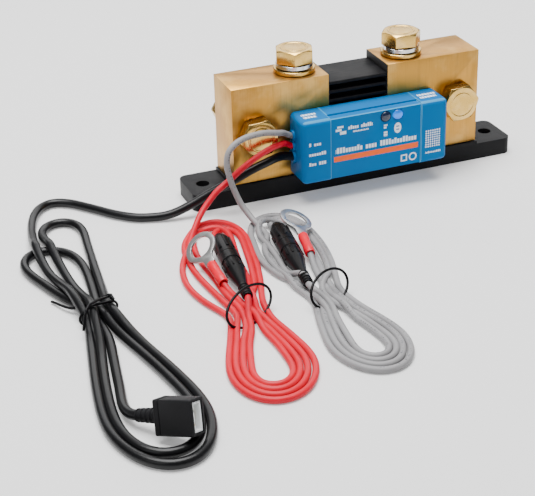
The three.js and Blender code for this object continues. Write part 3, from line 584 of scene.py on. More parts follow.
def new_tree(name, inputs):
    """A geometry tree with a geometry input, the named inputs and a geometry output."""
    tree = bpy.data.node_groups.new(name, "GeometryNodeTree")
    tree.interface.new_socket("Geometry", in_out="INPUT", socket_type="NodeSocketGeometry")
    for label, kind, value in inputs:
        socket = tree.interface.new_socket(label, in_out="INPUT", socket_type="NodeSocket" + kind)
        if value is not None:
            socket.default_value = value
    tree.interface.new_socket("Geometry", in_out="OUTPUT", socket_type="NodeSocketGeometry")
    graph = Graph(tree)
    return graph, graph.node("NodeGroupInput"), graph.node("NodeGroupOutput")


def closed_off(graph, given, out, geometry):
    """Ends a tree in Realize Instances and Set Material."""
    real = graph.node("GeometryNodeRealizeInstances", None, {"Geometry": geometry})
    coated = graph.node("GeometryNodeSetMaterial", None,
                        {"Geometry": real.outputs[0], "Material": given.outputs["Material"]})
    graph.feed(out.inputs[0], coated.outputs[0])


def sheath_tree():
    """A round section swept along a path, with each point's share of the way along and round it."""
    graph, given, out = new_tree("sheath_along_path", [
        ("Radius", "Float", 0.001), ("Sides", "Int", 12), ("Material", "Material", None)])
    along = graph.node("GeometryNodeSplineParameter")
    kept = graph.node("GeometryNodeStoreNamedAttribute", {"data_type": "FLOAT", "domain": "POINT"}, {
        "Geometry": given.outputs["Geometry"], "Name": "along", "Value": along.outputs["Factor"]})
    section = graph.node("GeometryNodeCurvePrimitiveCircle", {"mode": "RADIUS"}, {
        "Resolution": given.outputs["Sides"], "Radius": given.outputs["Radius"]})
    share = graph.node("GeometryNodeSplineParameter")
    wound = graph.node("GeometryNodeStoreNamedAttribute", {"data_type": "FLOAT", "domain": "POINT"}, {
        "Geometry": section.outputs["Curve"], "Name": "around", "Value": share.outputs["Factor"]})
    swept = graph.node("GeometryNodeCurveToMesh", None, {
        "Curve": kept.outputs[0], "Profile Curve": wound.outputs[0], "Fill Caps": True})
    closed_off(graph, given, out, swept.outputs["Mesh"])
    return graph.tree


def coil_tree():
    """A section swept along a helix about +Z: a screw thread's ridge or a spring."""
    graph, given, out = new_tree("section_along_helix", [
        ("Turns", "Float", 3.0), ("Radius", "Float", 0.004), ("Height", "Float", 0.004),
        ("Section", "Float", 0.0005), ("Corners", "Int", 3), ("Material", "Material", None)])
    helix = graph.node("GeometryNodeCurveSpiral", None, {
        "Resolution": 48, "Rotations": given.outputs["Turns"], "Start Radius": given.outputs["Radius"],
        "End Radius": given.outputs["Radius"], "Height": given.outputs["Height"]})
    section = graph.node("GeometryNodeCurvePrimitiveCircle", {"mode": "RADIUS"}, {
        "Resolution": given.outputs["Corners"], "Radius": given.outputs["Section"]})
    swept = graph.node("GeometryNodeCurveToMesh", None, {
        "Curve": helix.outputs["Curve"], "Profile Curve": section.outputs["Curve"], "Fill Caps": True})
    closed_off(graph, given, out, swept.outputs["Mesh"])
    return graph.tree


def ribs_tree():
    """Copies of a carrier's mesh, set out evenly round +Z."""
    graph, given, out = new_tree("ribs_round_axis", [
        ("Count", "Int", 12), ("Radius", "Float", 0.004), ("Material", "Material", None)])
    circle = graph.node("GeometryNodeMeshCircle", {"fill_type": "NONE"}, {
        "Vertices": given.outputs["Count"], "Radius": given.outputs["Radius"]})
    place = graph.node("GeometryNodeInputPosition")
    turn = graph.node("FunctionNodeAlignRotationToVector", {"axis": "X"}, {"Vector": place.outputs[0]})
    ribs = graph.node("GeometryNodeInstanceOnPoints", None, {
        "Points": circle.outputs["Mesh"], "Instance": given.outputs["Geometry"],
        "Rotation": turn.outputs["Rotation"]})
    closed_off(graph, given, out, ribs.outputs["Instances"])
    return graph.tree


def row_tree():
    """Copies of a carrier's mesh in a straight row."""
    graph, given, out = new_tree("row_of_copies", [
        ("Count", "Int", 4), ("Step", "Vector", None), ("Material", "Material", None)])
    line = graph.node("GeometryNodeMeshLine", {"mode": "OFFSET"}, {
        "Count": given.outputs["Count"], "Offset": given.outputs["Step"]})
    copies = graph.node("GeometryNodeInstanceOnPoints", None, {
        "Points": line.outputs["Mesh"], "Instance": given.outputs["Geometry"]})
    closed_off(graph, given, out, copies.outputs["Instances"])
    return graph.tree


SHEATH, COIL, RIBS, ROW = sheath_tree(), coil_tree(), ribs_tree(), row_tree()


def path_carrier(points):
    curve = bpy.data.curves.new("path", "CURVE")
    curve.dimensions = "3D"
    spline = curve.splines.new("POLY")
    spline.points.add(len(points) - 1)
    for target, point in zip(spline.points, points):
        target.co = (*point, 1)
    return bpy.data.objects.new("path_carrier", curve)


def sheath(name, points, diameter, sides, finish):
    return grown(name, path_carrier(points), SHEATH,
                 {"Radius": diameter / 2, "Sides": sides, "Material": finishes[finish]})


def helix(name, radius, height, turns, section, corners, finish):
    carrier = bpy.data.objects.new("helix_carrier", bpy.data.meshes.new("empty"))
    return grown(name, carrier, COIL, {"Turns": turns, "Radius": radius, "Height": height, "Section": section,
                                       "Corners": corners, "Material": finishes[finish]})


def ribbed(name, rib, count, radius, finish):
    return grown(name, bpy.data.objects.new("rib_carrier", rib), RIBS,
                 {"Count": count, "Radius": radius, "Material": finishes[finish]})


# ---------- camera and stage ----------
CAMERA_PLACE = (-0.2731, -0.6055, 0.3043)
CAMERA_YAW, CAMERA_PITCH, CAMERA_ROLL = 20.71, 27.56, -1.64
CAMERA_LENS = 98.1

camera = linked("camera", bpy.data.cameras.new("camera"))
camera.data.lens = CAMERA_LENS
camera.data.clip_start = 0.05
camera.matrix_world = (
    Matrix.Translation(CAMERA_PLACE)
    @ Matrix.Rotation(-math.radians(CAMERA_YAW), 4, "Z")
    @ Matrix.Rotation(math.radians(90 - CAMERA_PITCH), 4, "X")
    @ Matrix.Rotation(math.radians(CAMERA_ROLL), 4, "Z")
)
bpy.context.scene.camera = camera


def stage_floor():
    mesh = box_mesh("floor", (-6, -6, -0.02), (6, 6, 0))
    floor = linked("floor", mesh)
    finish = Finish("pale_floor", roughness=0.9)
    finish.colour((0.7, 0.7, 0.7, 1))
    finish.shader.inputs["Emission Color"].default_value = (1, 1, 1, 1)
    finish.shader.inputs["Emission Strength"].default_value = 0.25
    mesh.materials.append(finish.material)


def softbox(name, place, target, size, power, colour=(1, 1, 1)):
    light = bpy.data.lights.new(name, "AREA")
    light.shape = "RECTANGLE"
    light.size, light.size_y = size
    light.energy = power
    light.color = colour
    lamp = linked(name, light)
    direction = Vector(target) - Vector(place)
    lamp.matrix_world = Matrix.Translation(place) @ direction.to_track_quat("-Z", "Y").to_matrix().to_4x4()


def studio_light():
    world = bpy.data.worlds.new("studio")
    world.use_nodes = True
    world.node_tree.nodes["Background"].inputs["Color"].default_value = (1, 1, 1, 1)
    world.node_tree.nodes["Background"].inputs["Strength"].default_value = 0.2
    bpy.context.scene.world = world
    softbox("top", (-0.1, 0.05, 1.3), (-0.05, -0.05, 0), (1.1, 1.0), 46)
    softbox("rear", (0.45, 1.15, 0.75), (-0.03, 0, 0.03), (1.9, 0.8), 12)
    softbox("left", (-0.95, -0.55, 0.7), (-0.05, -0.05, 0.02), (0.7, 0.7), 2)


stage_floor()
studio_light()

# ---------- cords ----------
DATA_D = 4.2 * MM
WIRE_D = 2.9 * MM
DATA_LENGTH = 1.15                # from outlet to end piece, all of it drawn
RED_LENGTH = 1.25
GREY_LENGTH = 1.20
EXIT_Y = sum(corner.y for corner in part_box("lead_grommet")) / 2
EXIT_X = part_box("lead_grommet")[0].x
INSIDE = 2.2 * MM                 # how far a lead is drawn into its outlet

data_route = [
    (-0.0410, -0.0166, 0.0231), (-0.0463, -0.0188, 0.0235), (-0.0515, -0.0209, 0.0232),
    (-0.0562, -0.0211, 0.0219), (-0.0608, -0.0206, 0.0200), (-0.0656, -0.0196, 0.0174),
    (-0.0712, -0.0179, 0.0142), (-0.0768, -0.0166, 0.0114), (-0.0812, -0.0162, 0.0094),
    (-0.0856, -0.0160, 0.0074), (-0.0902, -0.0159, 0.0056), (-0.0948, -0.0156, 0.0040),
    (-0.0992, -0.0150, 0.0029), (-0.1038, -0.0136, 0.0023), (-0.1082, -0.0122, 0.0022),
    (-0.1126, -0.0104, 0.0022), (-0.1175, -0.0066, 0.0022), (-0.1226, -0.0012, 0.0022),
    (-0.1274, 0.0052, 0.0022), (-0.1324, 0.0116, 0.0022), (-0.1386, 0.0184, 0.0022),
    (-0.1454, 0.0216, 0.0022), (-0.1514, 0.0194, 0.0022), (-0.1562, 0.0132, 0.0022),
    (-0.1594, 0.0052, 0.0022),
]
red_route = [
    (-0.0402, -0.0172, 0.0296), (-0.0438, -0.0209, 0.0312), (-0.0485, -0.0226, 0.0312),
    (-0.0528, -0.0232, 0.0300), (-0.0570, -0.0236, 0.0282), (-0.0612, -0.0240, 0.0261),
    (-0.0654, -0.0242, 0.0236), (-0.0696, -0.0244, 0.0206), (-0.0738, -0.0248, 0.0179),
    (-0.0782, -0.0256, 0.0154), (-0.0820, -0.0268, 0.0124), (-0.0864, -0.0290, 0.0091),
    (-0.0900, -0.0324, 0.0067), (-0.0936, -0.0370, 0.0046),
]
grey_route = [
    (-0.0408, -0.0176, 0.0351), (-0.0444, -0.0209, 0.0370), (-0.0480, -0.0228, 0.0384),
    (-0.0526, -0.0236, 0.0395), (-0.0578, -0.0240, 0.0396), (-0.0630, -0.0244, 0.0391),
    (-0.0672, -0.0252, 0.0379), (-0.0705, -0.0260, 0.0360), (-0.0724, -0.0266, 0.0334),
    (-0.0732, -0.0272, 0.0301), (-0.0732, -0.0279, 0.0264), (-0.0726, -0.0288, 0.0226),
    (-0.0718, -0.0298, 0.0188), (-0.0706, -0.0312, 0.0147), (-0.0694, -0.0330, 0.0111),
    (-0.0678, -0.0358, 0.0079), (-0.0662, -0.0400, 0.0052), (-0.0648, -0.0456, 0.0034),
    (-0.0640, -0.0520, 0.0022),
]


def smooth_path(points, step):
    """Points `step` apart along a centripetal Catmull-Rom curve through the given ones."""
    knots = [Vector(p) for p in points]
    knots = [knots[0] * 2 - knots[1], *knots, knots[-1] * 2 - knots[-2]]
    line = []
    for a, b, c, d in zip(knots, knots[1:], knots[2:], knots[3:]):
        t0, t1 = 0.0, max((b - a).length, 1e-6) ** 0.5
        t2 = t1 + max((c - b).length, 1e-6) ** 0.5
        t3 = t2 + max((d - c).length, 1e-6) ** 0.5
        for part in range(8):
            t = t1 + (t2 - t1) * part / 8
            ab = a.lerp(b, (t - t0) / (t1 - t0))
            bc = b.lerp(c, (t - t1) / (t2 - t1))
            cd = c.lerp(d, (t - t2) / (t3 - t2))
            abc = ab.lerp(bc, (t - t0) / (t2 - t0))
            bcd = bc.lerp(cd, (t - t1) / (t3 - t1))
            line.append(abc.lerp(bcd, (t - t1) / (t2 - t1)))
    line.append(knots[-2])
    return respaced(np.array(line), step)


def respaced(line, step):
    along = np.concatenate([[0], np.cumsum(np.linalg.norm(np.diff(line, axis=0), axis=1))])
    at = np.linspace(0, along[-1], max(2, round(along[-1] / step) + 1))
    return np.stack([np.interp(at, along, line[:, axis]) for axis in range(3)], axis=1)


def lobe(tie, going, coming, end, sides, rounded, level):
    """Points of one loop of a hank, out from the tie, round its far end and back.

    `going` and `coming` are the strand's place in the bundle at the tie, across and up, `end` the loop's far
    point, `sides` how far from its axis it runs on the way out and back, right being positive, `rounded` the
    length of its elliptical end, and `level` its height over the floor."""
    tie, end = np.array(tie), np.array(end)
    length = np.linalg.norm(end - tie)
    axis = (end - tie) / length
    neck = length - rounded
    middle, half = (sides[0] + sides[1]) / 2, (sides[0] - sides[1]) / 2

    def at(along, side, height):
        x, y = tie + axis * along
        return x + side, y, height

    def straight(bundle, side, share):
        ease = share * (0.9 + share * (0.9 - 0.8 * share))
        return at(neck * share, bundle[0] + (side - bundle[0]) * ease, bundle[1] + (level - bundle[1]) * ease)

    shares = (0.0, 0.2, 0.4, 0.6, 0.8)
    points = [straight(going, sides[0], share) for share in shares]
    for step in range(9):
        angle = math.pi * step / 8
        points.append(at(neck + rounded * math.sin(angle), middle + half * math.cos(angle), level))
    return points + [straight(coming, sides[1], share) for share in shares[:0:-1]]


def hank(tie, bundle, loops):
    """The loops one after another, each from one place in the tied bundle to the next."""
    points = []
    for going, coming, loop in zip(bundle, bundle[1:], loops):
        points += lobe(tie, going, coming, *loop)
    return points


def near_pairs(place, reach, cord, apart):
    """Index pairs of points closer than `reach` that aren't neighbours on one cord."""
    gaps = np.linalg.norm(place[:, None, :] - place[None, :, :], axis=2)
    first, second = np.nonzero(np.triu(gaps < reach, 1))
    far = (cord[first] != cord[second]) | (second - first > apart)
    return first[far], second[far]


def settled(cords, obstacles, lift=False, rounds=240):
    """Lets cords sink on the floor and on each other. Each is (points, radius, held).

    Held points stay put. The last turn only smooths, without contact, so strands may press into each other,
    and `lift` then parts them."""
    place = np.concatenate([points for points, _, _ in cords])
    radius = np.concatenate([np.full(len(points), size) for points, size, _ in cords])
    free = 1.0 - np.concatenate([held for _, _, held in cords])
    cord = np.concatenate([np.full(len(points), index) for index, (points, _, _) in enumerate(cords)])
    plan = place[:, :2].copy()
    joined = cord[1:] == cord[:-1]
    evens = np.flatnonzero(joined & (np.arange(len(joined)) % 2 == 0))
    odds = np.flatnonzero(joined & (np.arange(len(joined)) % 2 == 1))
    whole = joined[:-3] & joined[1:-2] & joined[2:-1] & joined[3:]
    inner = np.flatnonzero(whole) + 2
    for turn in range(rounds):
        if turn % 6 == 0:
            first, second = near_pairs(place, 2.0 * radius.max() + 2.0 * MM, cord, 5)
            spacing = np.linalg.norm(np.diff(place, axis=0), axis=1)
            means = [spacing[joined & (cord[1:] == index)].mean() for index in range(len(cords))]
            rest = np.array(means)[cord[1:]]
        place[:, 2] -= 0.12 * MM * free
        place[:, :2] += (plan - place[:, :2]) * (0.05 * free)[:, None]
        for _ in range(2 if turn < rounds - 1 else 24):
            bend = (4 * (place[inner - 1] + place[inner + 1]) - 6 * place[inner]
                    - place[inner - 2] - place[inner + 2])
            place[inner] += bend * (0.055 * free[inner])[:, None]
        if turn == rounds - 1:
            place[:, 2] = np.maximum(place[:, 2], radius)
            break
        for links in (evens, odds):
            step = place[links + 1] - place[links]
            length = np.linalg.norm(step, axis=1)
            share = free[links] + free[links + 1]
            fix = step * (0.3 * (length - rest[links]) / length / np.maximum(share, 1.0))[:, None]
            place[links] += fix * free[links][:, None]
            place[links + 1] -= fix * free[links + 1][:, None]
        gap = place[second] - place[first]
        gap[:, 2] += np.where(gap[:, 2] < 0, -0.4, 0.4) * MM
        size = np.maximum(np.linalg.norm(gap, axis=1), 1e-6)
        overlap = np.maximum(0.0, radius[first] + radius[second] - size)
        share = np.maximum(free[first] + free[second], 1.0)
        push = gap * np.array([0.3, 0.3, 0.6]) * (overlap / size / share)[:, None]
        np.add.at(place, first, -push * free[first][:, None])
        np.add.at(place, second, push * free[second][:, None])
        for low, high, thick in obstacles:
            line = high - low
            share = np.clip((place - low) @ line / (line @ line), 0, 1)
            away = place - low - share[:, None] * line
            distance = np.maximum(np.linalg.norm(away, axis=1), 1e-6)
            inside = np.maximum(0.0, thick + radius - distance) * free
            place += away * (inside / distance)[:, None]
        low = free > 0
        place[low, 2] = np.maximum(place[low, 2], radius[low])
    if lift:
        lifted(place, radius, free, cord, inner)
    return [place[cord == index] for index in range(len(cords))]


def lifted(place, radius, free, cord, inner, rounds=400):
    """Raises strands over those that they cross, as long low humps, without moving them sideways."""
    first, second = near_pairs(place * (1, 1, 0), 2.0 * radius.max(), cord, 5)
    flat = np.linalg.norm(place[first, :2] - place[second, :2], axis=1)
    reach = radius[first] + radius[second]
    crossing = (flat < 0.94 * reach) & (free[first] + free[second] > 0)
    first, second, flat, reach = first[crossing], second[crossing], flat[crossing], reach[crossing]
    over = np.where(place[first, 2] >= place[second, 2], first, second)
    under = np.where(over == first, second, first)
    needed = np.sqrt(reach ** 2 - flat ** 2)
    height = place[:, 2]
    for _ in range(rounds):
        height -= 0.03 * MM * free
        bend = (height[inner - 1] + height[inner + 1]) / 2 - height[inner]
        height[inner] += bend * 0.5 * free[inner]
        short = np.maximum(0.0, needed - (height[over] - height[under]))
        rise = np.zeros(len(height))
        np.maximum.at(rise, over, short)
        height += rise * 0.8 * free
        np.copyto(height, np.maximum(height, radius), where=free > 0)


def row(*places):
    return [(across * MM, up * MM) for across, up in places]


# Strands' places in each tied bundle, across and up, in the order that the cord passes the tie
data_tie, red_tie, grey_tie = (-0.1545, -0.0930), (-0.0970, -0.1160), (-0.0610, -0.1160)
data_bundle = row((-4.3, 2.1), (4.3, 2.1), (-2.2, 5.9), (2.2, 5.9), (0.0, 2.1))
red_bundle = row((-7.6, 2.7), (7.2, 2.7), (-4.5, 2.7), (4.2, 2.7), (-1.5, 2.7), (1.5, 2.7))
grey_bundle = row((-6.6, 2.7), (6.4, 2.7), (-3.6, 2.7), (3.4, 2.7), (-5.0, 5.5), (-0.3, 2.7))
# Each loop's far point, its sides out and back, the length of its rounded end and its height over the floor
data_loops = [
    ((-0.1550, -0.2035), (-0.0184, 0.0193), 0.034, 0.0021),
    ((-0.1490, 0.0005), (0.0095, -0.0088), 0.010, 0.0063),
    ((-0.1550, -0.1965), (-0.0148, 0.0152), 0.025, 0.0021),
    ((-0.1620, -0.0250), (0.0110, -0.0125), 0.016, 0.0021),
]
red_loops = [
    ((-0.1055, -0.1795), (-0.0173, 0.0170), 0.024, 0.0015),
    ((-0.0800, -0.0275), (0.0122, -0.0185), 0.032, 0.0015),
    ((-0.1052, -0.1760), (-0.0142, 0.0139), 0.021, 0.0015),
    ((-0.0800, -0.0340), (0.0030, -0.0158), 0.011, 0.0115),
    ((-0.1049, -0.1725), (-0.0111, 0.0108), 0.017, 0.0015),
]
grey_loops = [
    ((-0.0605, -0.1765), (-0.0156, 0.0154), 0.023, 0.0015),
    ((-0.0535, -0.0325), (0.0125, -0.0185), 0.036, 0.0015),
    ((-0.0605, -0.1730), (-0.0126, 0.0124), 0.020, 0.0015),
    ((-0.0555, -0.0390), (0.0086, -0.0105), 0.011, 0.0105),
    ((-0.0605, -0.1695), (-0.0096, 0.0094), 0.014, 0.0015),
]
# Between the route and the hank, and from the last loop to the cord's end in the plug's boot or the terminal
data_join = [
    (-0.1625, -0.0080, 0.0035), (-0.1646, -0.0210, 0.0063), (-0.1652, -0.0360, 0.0063),
    (-0.1646, -0.0520, 0.0063), (-0.1626, -0.0680, 0.0050), (-0.1600, -0.0820, 0.0030),
]
data_end = [
    (-0.1558, -0.1120, 0.0021), (-0.1585, -0.1290, 0.0021), (-0.1612, -0.1450, 0.0021),
    (-0.1634, -0.1580, 0.0024), (-0.1642, -0.1655, 0.0034), (-0.1632, -0.1708, 0.0046),
    (-0.1600, -0.1750, 0.0062),
]
red_join = [
    (-0.0982, -0.0450, 0.0050), (-0.1036, -0.0550, 0.0030), (-0.1092, -0.0660, 0.0015),
    (-0.1118, -0.0780, 0.0015), (-0.1116, -0.0890, 0.0015), (-0.1092, -0.1000, 0.0015),
    (-0.1064, -0.1085, 0.0020),
]
red_through_holder = [
    (-0.0935, -0.1060, 0.0020), (-0.0868, -0.0950, 0.0015), (-0.0815, -0.0790, 0.0015),
    (-0.0778, -0.0640, 0.0016), (-0.0752, -0.0510, 0.0020), (-0.0760, -0.0410, 0.0035),
    (-0.0806, -0.0362, 0.0048), (-0.0850, -0.0392, 0.0052), (-0.0864, -0.0450, 0.0052),
    (-0.0866, -0.0512, 0.0052),
    (-0.0903, -0.0785, 0.0052), (-0.0939, -0.1070, 0.0052), (-0.0948, -0.1130, 0.0062),
]
red_last = ((-0.1046, -0.1690), (-0.0081, 0.0078), 0.009, 0.0015)
red_last_bundle = row((-0.6, 6.4), (3.0, 5.6))
red_end = [(-0.0957, -0.1050, 0.0058), (-0.0976, -0.0960, 0.0045), (-0.0986, -0.0898, 0.0040),
           (-0.0989, -0.0820, 0.0055)]
grey_join = [
    (-0.0668, -0.0570, 0.0060), (-0.0694, -0.0640, 0.0090), (-0.0710, -0.0740, 0.0098),
    (-0.0712, -0.0850, 0.0098), (-0.0698, -0.0980, 0.0086), (-0.0682, -0.1080, 0.0060),
]
grey_through_holder = [
    (-0.0596, -0.1060, 0.0060), (-0.0545, -0.0990, 0.0070), (-0.0500, -0.0900, 0.0045),
    (-0.0472, -0.0780, 0.0020), (-0.0458, -0.0640, 0.0016), (-0.0460, -0.0500, 0.0025),
    (-0.0484, -0.0404, 0.0038), (-0.0532, -0.0362, 0.0048), (-0.0574, -0.0396, 0.0052),
    (-0.0587, -0.0462, 0.0052),
    (-0.0592, -0.0530, 0.0052), (-0.0628, -0.0790, 0.0052), (-0.0666, -0.1070, 0.0052),
    (-0.0658, -0.1130, 0.0066),
]
grey_last = ((-0.0605, -0.1660), (-0.0066, 0.0064), 0.0068, 0.0015)
grey_last_bundle = row((-1.6, 6.4), (2.0, 5.6))
grey_end = [(-0.0582, -0.1030, 0.0050), (-0.0562, -0.0915, 0.0046), (-0.0547, -0.0812, 0.0045),
            (-0.0538, -0.0750, 0.0055)]


def inside_capsule(low, high, thick):
    low, high = np.array(low), np.array(high)
    line = high - low

    def test(point):
        share = np.clip((point - low) @ line / (line @ line), 0, 1)
        return np.linalg.norm(point - low - share * line) < thick
    return test


WIRE_STEP, DATA_STEP = 2.6 * MM, 3.8 * MM
red_tail, red_head = (-0.0939, -0.1070, 0.0052), (-0.0866, -0.0500, 0.0052)
grey_tail, grey_head = (-0.0666, -0.1070, 0.0052), (-0.0589, -0.0510, 0.0052)


def planned(exit_height, route, join, tie, bundle, loops, through, last, last_bundle, end, step):
    start = [(EXIT_X + INSIDE, EXIT_Y, exit_height), (EXIT_X, EXIT_Y, exit_height), *route]
    points = start + join + hank(tie, bundle, loops) + through
    if last:
        points += hank(tie, last_bundle, [last])
    return smooth_path(points + end, step), respaced(np.array(start), step)


data_plan, data_held = planned(0.0219, data_route, data_join, data_tie, data_bundle, data_loops,
                               [], None, None, data_end, DATA_STEP)
red_plan, red_held = planned(0.0273, red_route, red_join, red_tie, red_bundle, red_loops,
                             red_through_holder, red_last, red_last_bundle, red_end, WIRE_STEP)
grey_plan, grey_held = planned(0.0324, grey_route, grey_join, grey_tie, grey_bundle, grey_loops,
                               grey_through_holder, grey_last, grey_last_bundle, grey_end, WIRE_STEP)


def held_in(plan, first, tests):
    """1 for the points that can't move: the routed stretch, and those that `tests` name."""
    fixed = np.zeros(len(plan))
    fixed[:first] = 1
    for index, point in enumerate(plan):
        if any(test(point) for test in tests):
            fixed[index] = 1
    fixed[-3:] = 1
    return fixed


red_fixed = held_in(red_plan, len(red_held), [inside_capsule(red_tail, red_head, 0.8 * MM)])
grey_fixed = held_in(grey_plan, len(grey_held), [inside_capsule(grey_tail, grey_head, 0.8 * MM)])
data_fixed = held_in(data_plan, len(data_held), [])


def points_of(*places):
    return [np.array(place) for place in places]


hoops = {
    "red": ((-0.0970, -0.1165, 0.0066), (0.0118, 0.0062, 0.0006), (-0.0005, 0.0042, 0.0060)),
    "grey": ((-0.0610, -0.1165, 0.0066), (0.0100, 0.0046, 0.0006), (-0.0005, 0.0042, 0.0060)),
}
hoop_shapes = []
for centre, across, rise in (points_of(*shape) for shape in hoops.values()):
    for start, end in ((-0.9, -0.35), (-0.35, 0.35), (0.35, 0.9)):
        low, high = (centre + across * share - rise * math.sqrt(1 - share * share) for share in (start, end))
        hoop_shapes.append((low, high, 0.7 * MM))
holder_shapes = []
for tail, head in ((red_tail, red_head), (grey_tail, grey_head)):
    tail, head = points_of(tail, head)
    along = (head - tail) / np.linalg.norm(head - tail)
    holder_shapes.append((tail + along * 0.020, head - along * 0.004, 4.9 * MM))
red_line, grey_line = settled(
    [(red_plan, WIRE_D / 2, red_fixed), (grey_plan, WIRE_D / 2, grey_fixed)],
    holder_shapes + hoop_shapes)
plug_shapes = [(*points_of((-0.1560, -0.1812, 0.0056), (-0.1453, -0.1939, 0.0102)), 4.3 * MM),
               (*points_of((-0.1556, -0.1792, 0.0103), (-0.1449, -0.1919, 0.0149)), 4.3 * MM)]
data_line, = settled([(data_plan, DATA_D / 2, data_fixed)], plug_shapes, lift=True)

cord_lines = {"data": smooth_path(data_line, 1.9 * MM), "red": smooth_path(red_line, 1.3 * MM),
              "grey": smooth_path(grey_line, 1.3 * MM)}

# ---------- where pieces are ----------
bodies = frame["record"]["behaviour"]["bodies"]
body_holding = {node: body for body, nodes in bodies.items() for node in nodes}


def piece(name, mesh, finish, *nodes, smooth=35):
    """A finished piece that stands for CAD nodes, on the body of the first one."""
    return finished(name, mesh, finish, body_holding[nodes[0]], nodes, smooth)


def middle(node):
    low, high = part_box(node)
    return Vector([(a + b) / 2 for a, b in zip(low, high)])


# ---------- base and blocks ----------
def chamfered_hexagon(flats, low, high, chamfer_low, chamfer_high, ring_radius=0.0):
    """A hexagon along +Z with its corners turned off at 30 degrees and a shallow ring in its top."""
    corner = flats / math.sqrt(3)
    face = flats / 2 * 0.97
    drop = (corner - face) * math.tan(math.radians(30))
    across = corner + 1 * MM
    more = (across - face) * math.tan(math.radians(30))
    profile = [(0, low)]
    profile += [(face, low), (across, low + more)] if chamfer_low else [(across, low)]
    profile += [(across, high - more), (face, high)] if chamfer_high else [(across, high)]
    if ring_radius:
        profile += [(ring_radius + 0.5 * MM, high), (ring_radius + 0.3 * MM, high - 0.2 * MM),
                    (ring_radius - 0.3 * MM, high - 0.2 * MM), (ring_radius - 0.6 * MM, high - 0.05 * MM)]
    profile += [(0, high - (0.05 * MM if ring_radius else 0))]
    envelope = turned("envelope", profile, 72)
    prism = turned("prism", [(0, low - MM), (corner, low - MM), (corner, high + MM), (0, high + MM)], 6)
    shaped = combined("hexagon", envelope, [prism], "INTERSECT")
    return bevelled("hexagon", flat_sides(shaped), 0.12 * MM, 2, 25)


THREAD_PITCH = 1.5 * MM
THREAD_R = 5 * MM


def thread(name, low, high, finish):
    """A rounded helical ridge that brings a shank out to its thread's full radius."""
    length = high - low - THREAD_PITCH
    ridge = helix(name, THREAD_R - 0.36 * MM, length, length / THREAD_PITCH, 0.5 * MM, 4, finish)
    ridge.transform(Matrix.Translation((0, 0, low + THREAD_PITCH / 2)))
    return ridge


def shank(low, high, finish):
    core = THREAD_R - 0.6 * MM
    tip = 0.7 * MM
    rod = turned("shank", [(0, low), (core - tip, low), (core, low + tip), (core, high), (0, high)], 40)
    return joined("shank", painted(rod, finish), thread("thread", low + 0.4 * MM, high, finish))


def split_ring(inner, outer, low, high, rise):
    """A spring washer: a flat coil with one gap, whose ends stand apart by `rise`."""
    steps = 72
    wide = math.radians(8)
    edge = 0.12 * MM

    def build(shape):
        sections = []
        for step in range(steps + 1):
            angle = wide / 2 + (2 * math.pi - wide) * step / steps
            lift = rise * (step / steps - 0.5)
            outline = [(inner + edge, low), (outer - edge, low), (outer, low + edge), (outer, high - edge),
                       (outer - edge, high), (inner + edge, high), (inner, high - edge), (inner, low + edge)]
            sections.append([shape.verts.new((r * math.cos(angle), r * math.sin(angle), z + lift))
                             for r, z in outline])
        for before, after in zip(sections, sections[1:]):
            for index in range(len(before)):
                follow = (index + 1) % len(before)
                shape.faces.new((before[index], before[follow], after[follow], after[index]))
        shape.faces.new(sections[0])
        shape.faces.new(sections[-1][::-1])
    return mesh_from("split_ring", build)


def flat_ring(inner, outer, low, high, edge=0.25 * MM):
    return turned("flat_ring", [
        (inner, low + edge), (inner + edge, low), (outer - edge, low), (outer, low + edge),
        (outer, high - edge), (outer - edge, high), (inner + edge, high), (inner, high - edge)], 72)


HEAD_FLATS = 17 * MM
HEAD_RING_R = 6 * MM
WASHER_BORE_R = 5.5 * MM
NUT_BORE_R = 5.35 * MM
SPRING_CLEAR = 0.3 * MM           # left free at each face of a spring washer


def make_bolt(name, tip, head_low, head_high, aim):
    head = painted(chamfered_hexagon(HEAD_FLATS, head_low, head_high, False, True, HEAD_RING_R), "passivated")
    bolt = joined("bolt", head, shank(tip, head_low + 0.2 * MM, "passivated"))
    piece(f"{name}_hex_bolt", moved(bolt, *aim), None, f"{name}_bolt")


def make_washers(name, axis, centre, direction, turn):
    """A plain and a split washer, whose faces are where their nodes' boxes end along `axis`."""
    low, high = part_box(f"{name}_flat_washer")
    ring = flat_ring(WASHER_BORE_R, (high.x - low.x) / 2, low[axis], high[axis])
    piece(f"{name}_plain_washer", moved(ring, centre, direction), "passivated", f"{name}_flat_washer")
    low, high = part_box(f"{name}_spring_washer")
    coil = split_ring(WASHER_BORE_R, (high.x - low.x) / 2, low[axis] + SPRING_CLEAR,
                      high[axis] - SPRING_CLEAR, 0.5 * MM)
    piece(f"{name}_split_washer", moved(coil, centre, direction, turn), "steel", f"{name}_spring_washer")


